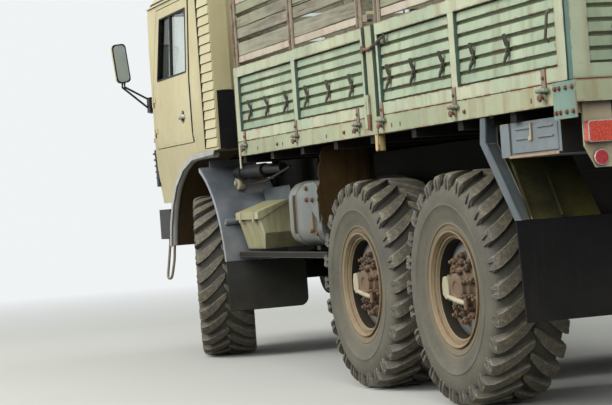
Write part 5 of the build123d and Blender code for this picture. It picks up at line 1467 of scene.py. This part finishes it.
def buildBoxTrim():
    bm = bmesh.new()
    for out in (1, -1):                        # upstand of the front guard, channel of the rear one
        addForms(bm, out, ("box", (2.204, 0.8, 1.372), (2.212, 1.16, 1.446), 3))
        for depth, near, thick in ((0.004, 1.165, 0.066), (0.02, 1.16, 0.006)):
            channel = ((-2.772, 1.428), (-2.757, 1.31), (-3.077, 0.942), (-3.078 - depth, 0.942),
                       (-2.76 - depth, 1.308), (-2.773 - depth, 1.428))
            addForms(bm, out, ("plate", channel, thick, near, 4))
    hook = ((-3.235, 1.3), (-3.2, 1.3), (-3.2, 1.315), (-3.22, 1.325), (-3.222, 1.378), (-3.235, 1.378))
    addForms(bm, 1, ("box", (-2.996, 0.72, 1.232), (-2.905, 1.205, 1.388), 1),      # hinge end of the tool box
             ("plate", hook, 0.008, 1.2005),
             *(("box", (x - 0.016, 1.128, 0.985), (x + 0.016, 1.1625, 1.055)) for x in (1.235, 1.535)))
    names = ("creamPaint", "toolBoxPaint", "blackTrim", "mudguardPaint", "guardEdge")
    finishPiece("boxTrim", bm, names, "chassis", 0.0015)


def buildChassis():
    for node, name in chassisFinishes.items():
        dressNode(node, (name,), 0.003)
    dressNode("lamps", ("clearLens", "redLens", "orangeLens"), 0.004, pick=lampPick)
    dressNode("mudguards", ("mudguardPaint", "guardEdge", "mossyGuard"), 0.003, pick=guardPick)
    dressNode("fuel_tanks", ("tankPaint", "splashBoard"), 0.003, pick=tankPick)
    dressNode("mudflaps", ("flapRubber", "flapDust"), 0.003,
              pick=lambda centre, normal: "flapDust" if centre[0] > 0 else "flapRubber")
    dressNode("toolbox", ("toolBoxPaint", "tornEdge", "chassisPaint"), 0.003, pick=toolPick)
    buildRaggedBoards()
    buildSteps()
    buildTankTrim()
    buildValve()
    buildBoxTrim()
    print("chassis dressed")


buildChassis()


# Stage: pale floor that fades into the sky, plain light and the camera of the photograph

stageLook = {"floor": tone(196, 197, 190), "underLight": tone(70, 68, 60), "sky": tone(240, 243, 244),
             "reach": 60.0, "fadeFrom": 7.0, "fadeTo": 16.0, "skyLight": 0.62}


def seenRay(tree):
    ray = put(tree, "ShaderNodeLightPath").outputs
    seen = maths(tree, "MAXIMUM", ray["Is Camera Ray"], ray["Is Glossy Ray"])
    return maths(tree, "MAXIMUM", seen, ray["Is Transmission Ray"])


def buildStage():
    look = stageLook
    reach = look["reach"]
    bm = bmesh.new()
    addPlate(bm, ((-reach, -reach), (reach, -reach), (reach, reach), (-reach, reach)), 0.02,
             Matrix.Translation((0, 0, -0.02)))
    bmesh.ops.recalc_face_normals(bm, faces=bm.faces)
    floor = showObject("floor", closeMesh("floor", bm))
    material, tree, shader = startMaterial("paleFloor")
    seen = seenRay(tree)
    away = put(tree, "ShaderNodeVectorMath", {0: objectPlace(tree)}, operation="LENGTH").outputs["Value"]
    fade = times(tree, ramp(tree, away, look["fadeFrom"], look["fadeTo"]), seen)
    colour = blendTone(tree, seen, look["underLight"], look["floor"])
    black = (0, 0, 0, 1)
    tree.links.new(blendTone(tree, fade, colour, black), shader.inputs["Base Color"])
    tree.links.new(blendTone(tree, fade, black, look["sky"]), shader.inputs["Emission Color"])
    for title, value in (("Emission Strength", 1.0), ("Specular IOR Level", 0.0), ("Roughness", 0.9)):
        shader.inputs[title].default_value = value
    floor.data.materials.append(material)


lightLook = {
    # name: place, target, size, watts
    "softKey": ((1.0, 13.0, 10.0), (0, 0, 1.4), 8.0, 2050),
    "softRear": ((-12.0, 6.0, 7.0), (0, 0, 1.2), 9.0, 900),
    "softBack": ((2.0, -11.0, 8.0), (0, 0, 1.4), 9.0, 600),
}


def buildLight():
    world = bpy.data.worlds.new("softSky")
    world.use_nodes = True
    scene.world = world
    tree = world.node_tree
    background = tree.nodes["Background"]
    background.inputs["Color"].default_value = stageLook["sky"]
    strength = ramp(tree, seenRay(tree), 0.0, 1.0, stageLook["skyLight"], 1.0)
    tree.links.new(strength, background.inputs["Strength"])
    for name, (place, target, size, watts) in lightLook.items():
        lamp = bpy.data.lights.new(name, "AREA")
        lamp.size = size
        lamp.energy = watts
        holder = showObject(name, lamp)
        holder.location = place
        holder.rotation_euler = (Vector(target) - Vector(place)).to_track_quat("-Z", "Y").to_euler()


# Solved from the wheels, the bed's corners and the sills in the photograph
cameraLook = {"place": (-10.811, 4.895, 1.091), "yaw": -18.9035, "pitch": 0.013, "roll": -4.149, "lens": 109.05}


def buildCamera():
    look = cameraLook
    data = bpy.data.cameras.new("photoView")
    data.lens = look["lens"]
    data.sensor_width = 36
    data.clip_end = 300
    camera = showObject("photoView", data)
    yaw, pitch = radians(look["yaw"]), radians(look["pitch"])
    ahead = Vector((cos(pitch) * cos(yaw), cos(pitch) * sin(yaw), sin(pitch)))
    camera.rotation_mode = "QUATERNION"
    camera.rotation_quaternion = ahead.to_track_quat("-Z", "Y") @ Quaternion((0, 0, 1), radians(look["roll"]))
    camera.location = look["place"]
    scene.camera = camera


buildStage()
buildLight()
buildCamera()
scene.view_settings.view_transform = "Standard"
print("stage, light and camera set")
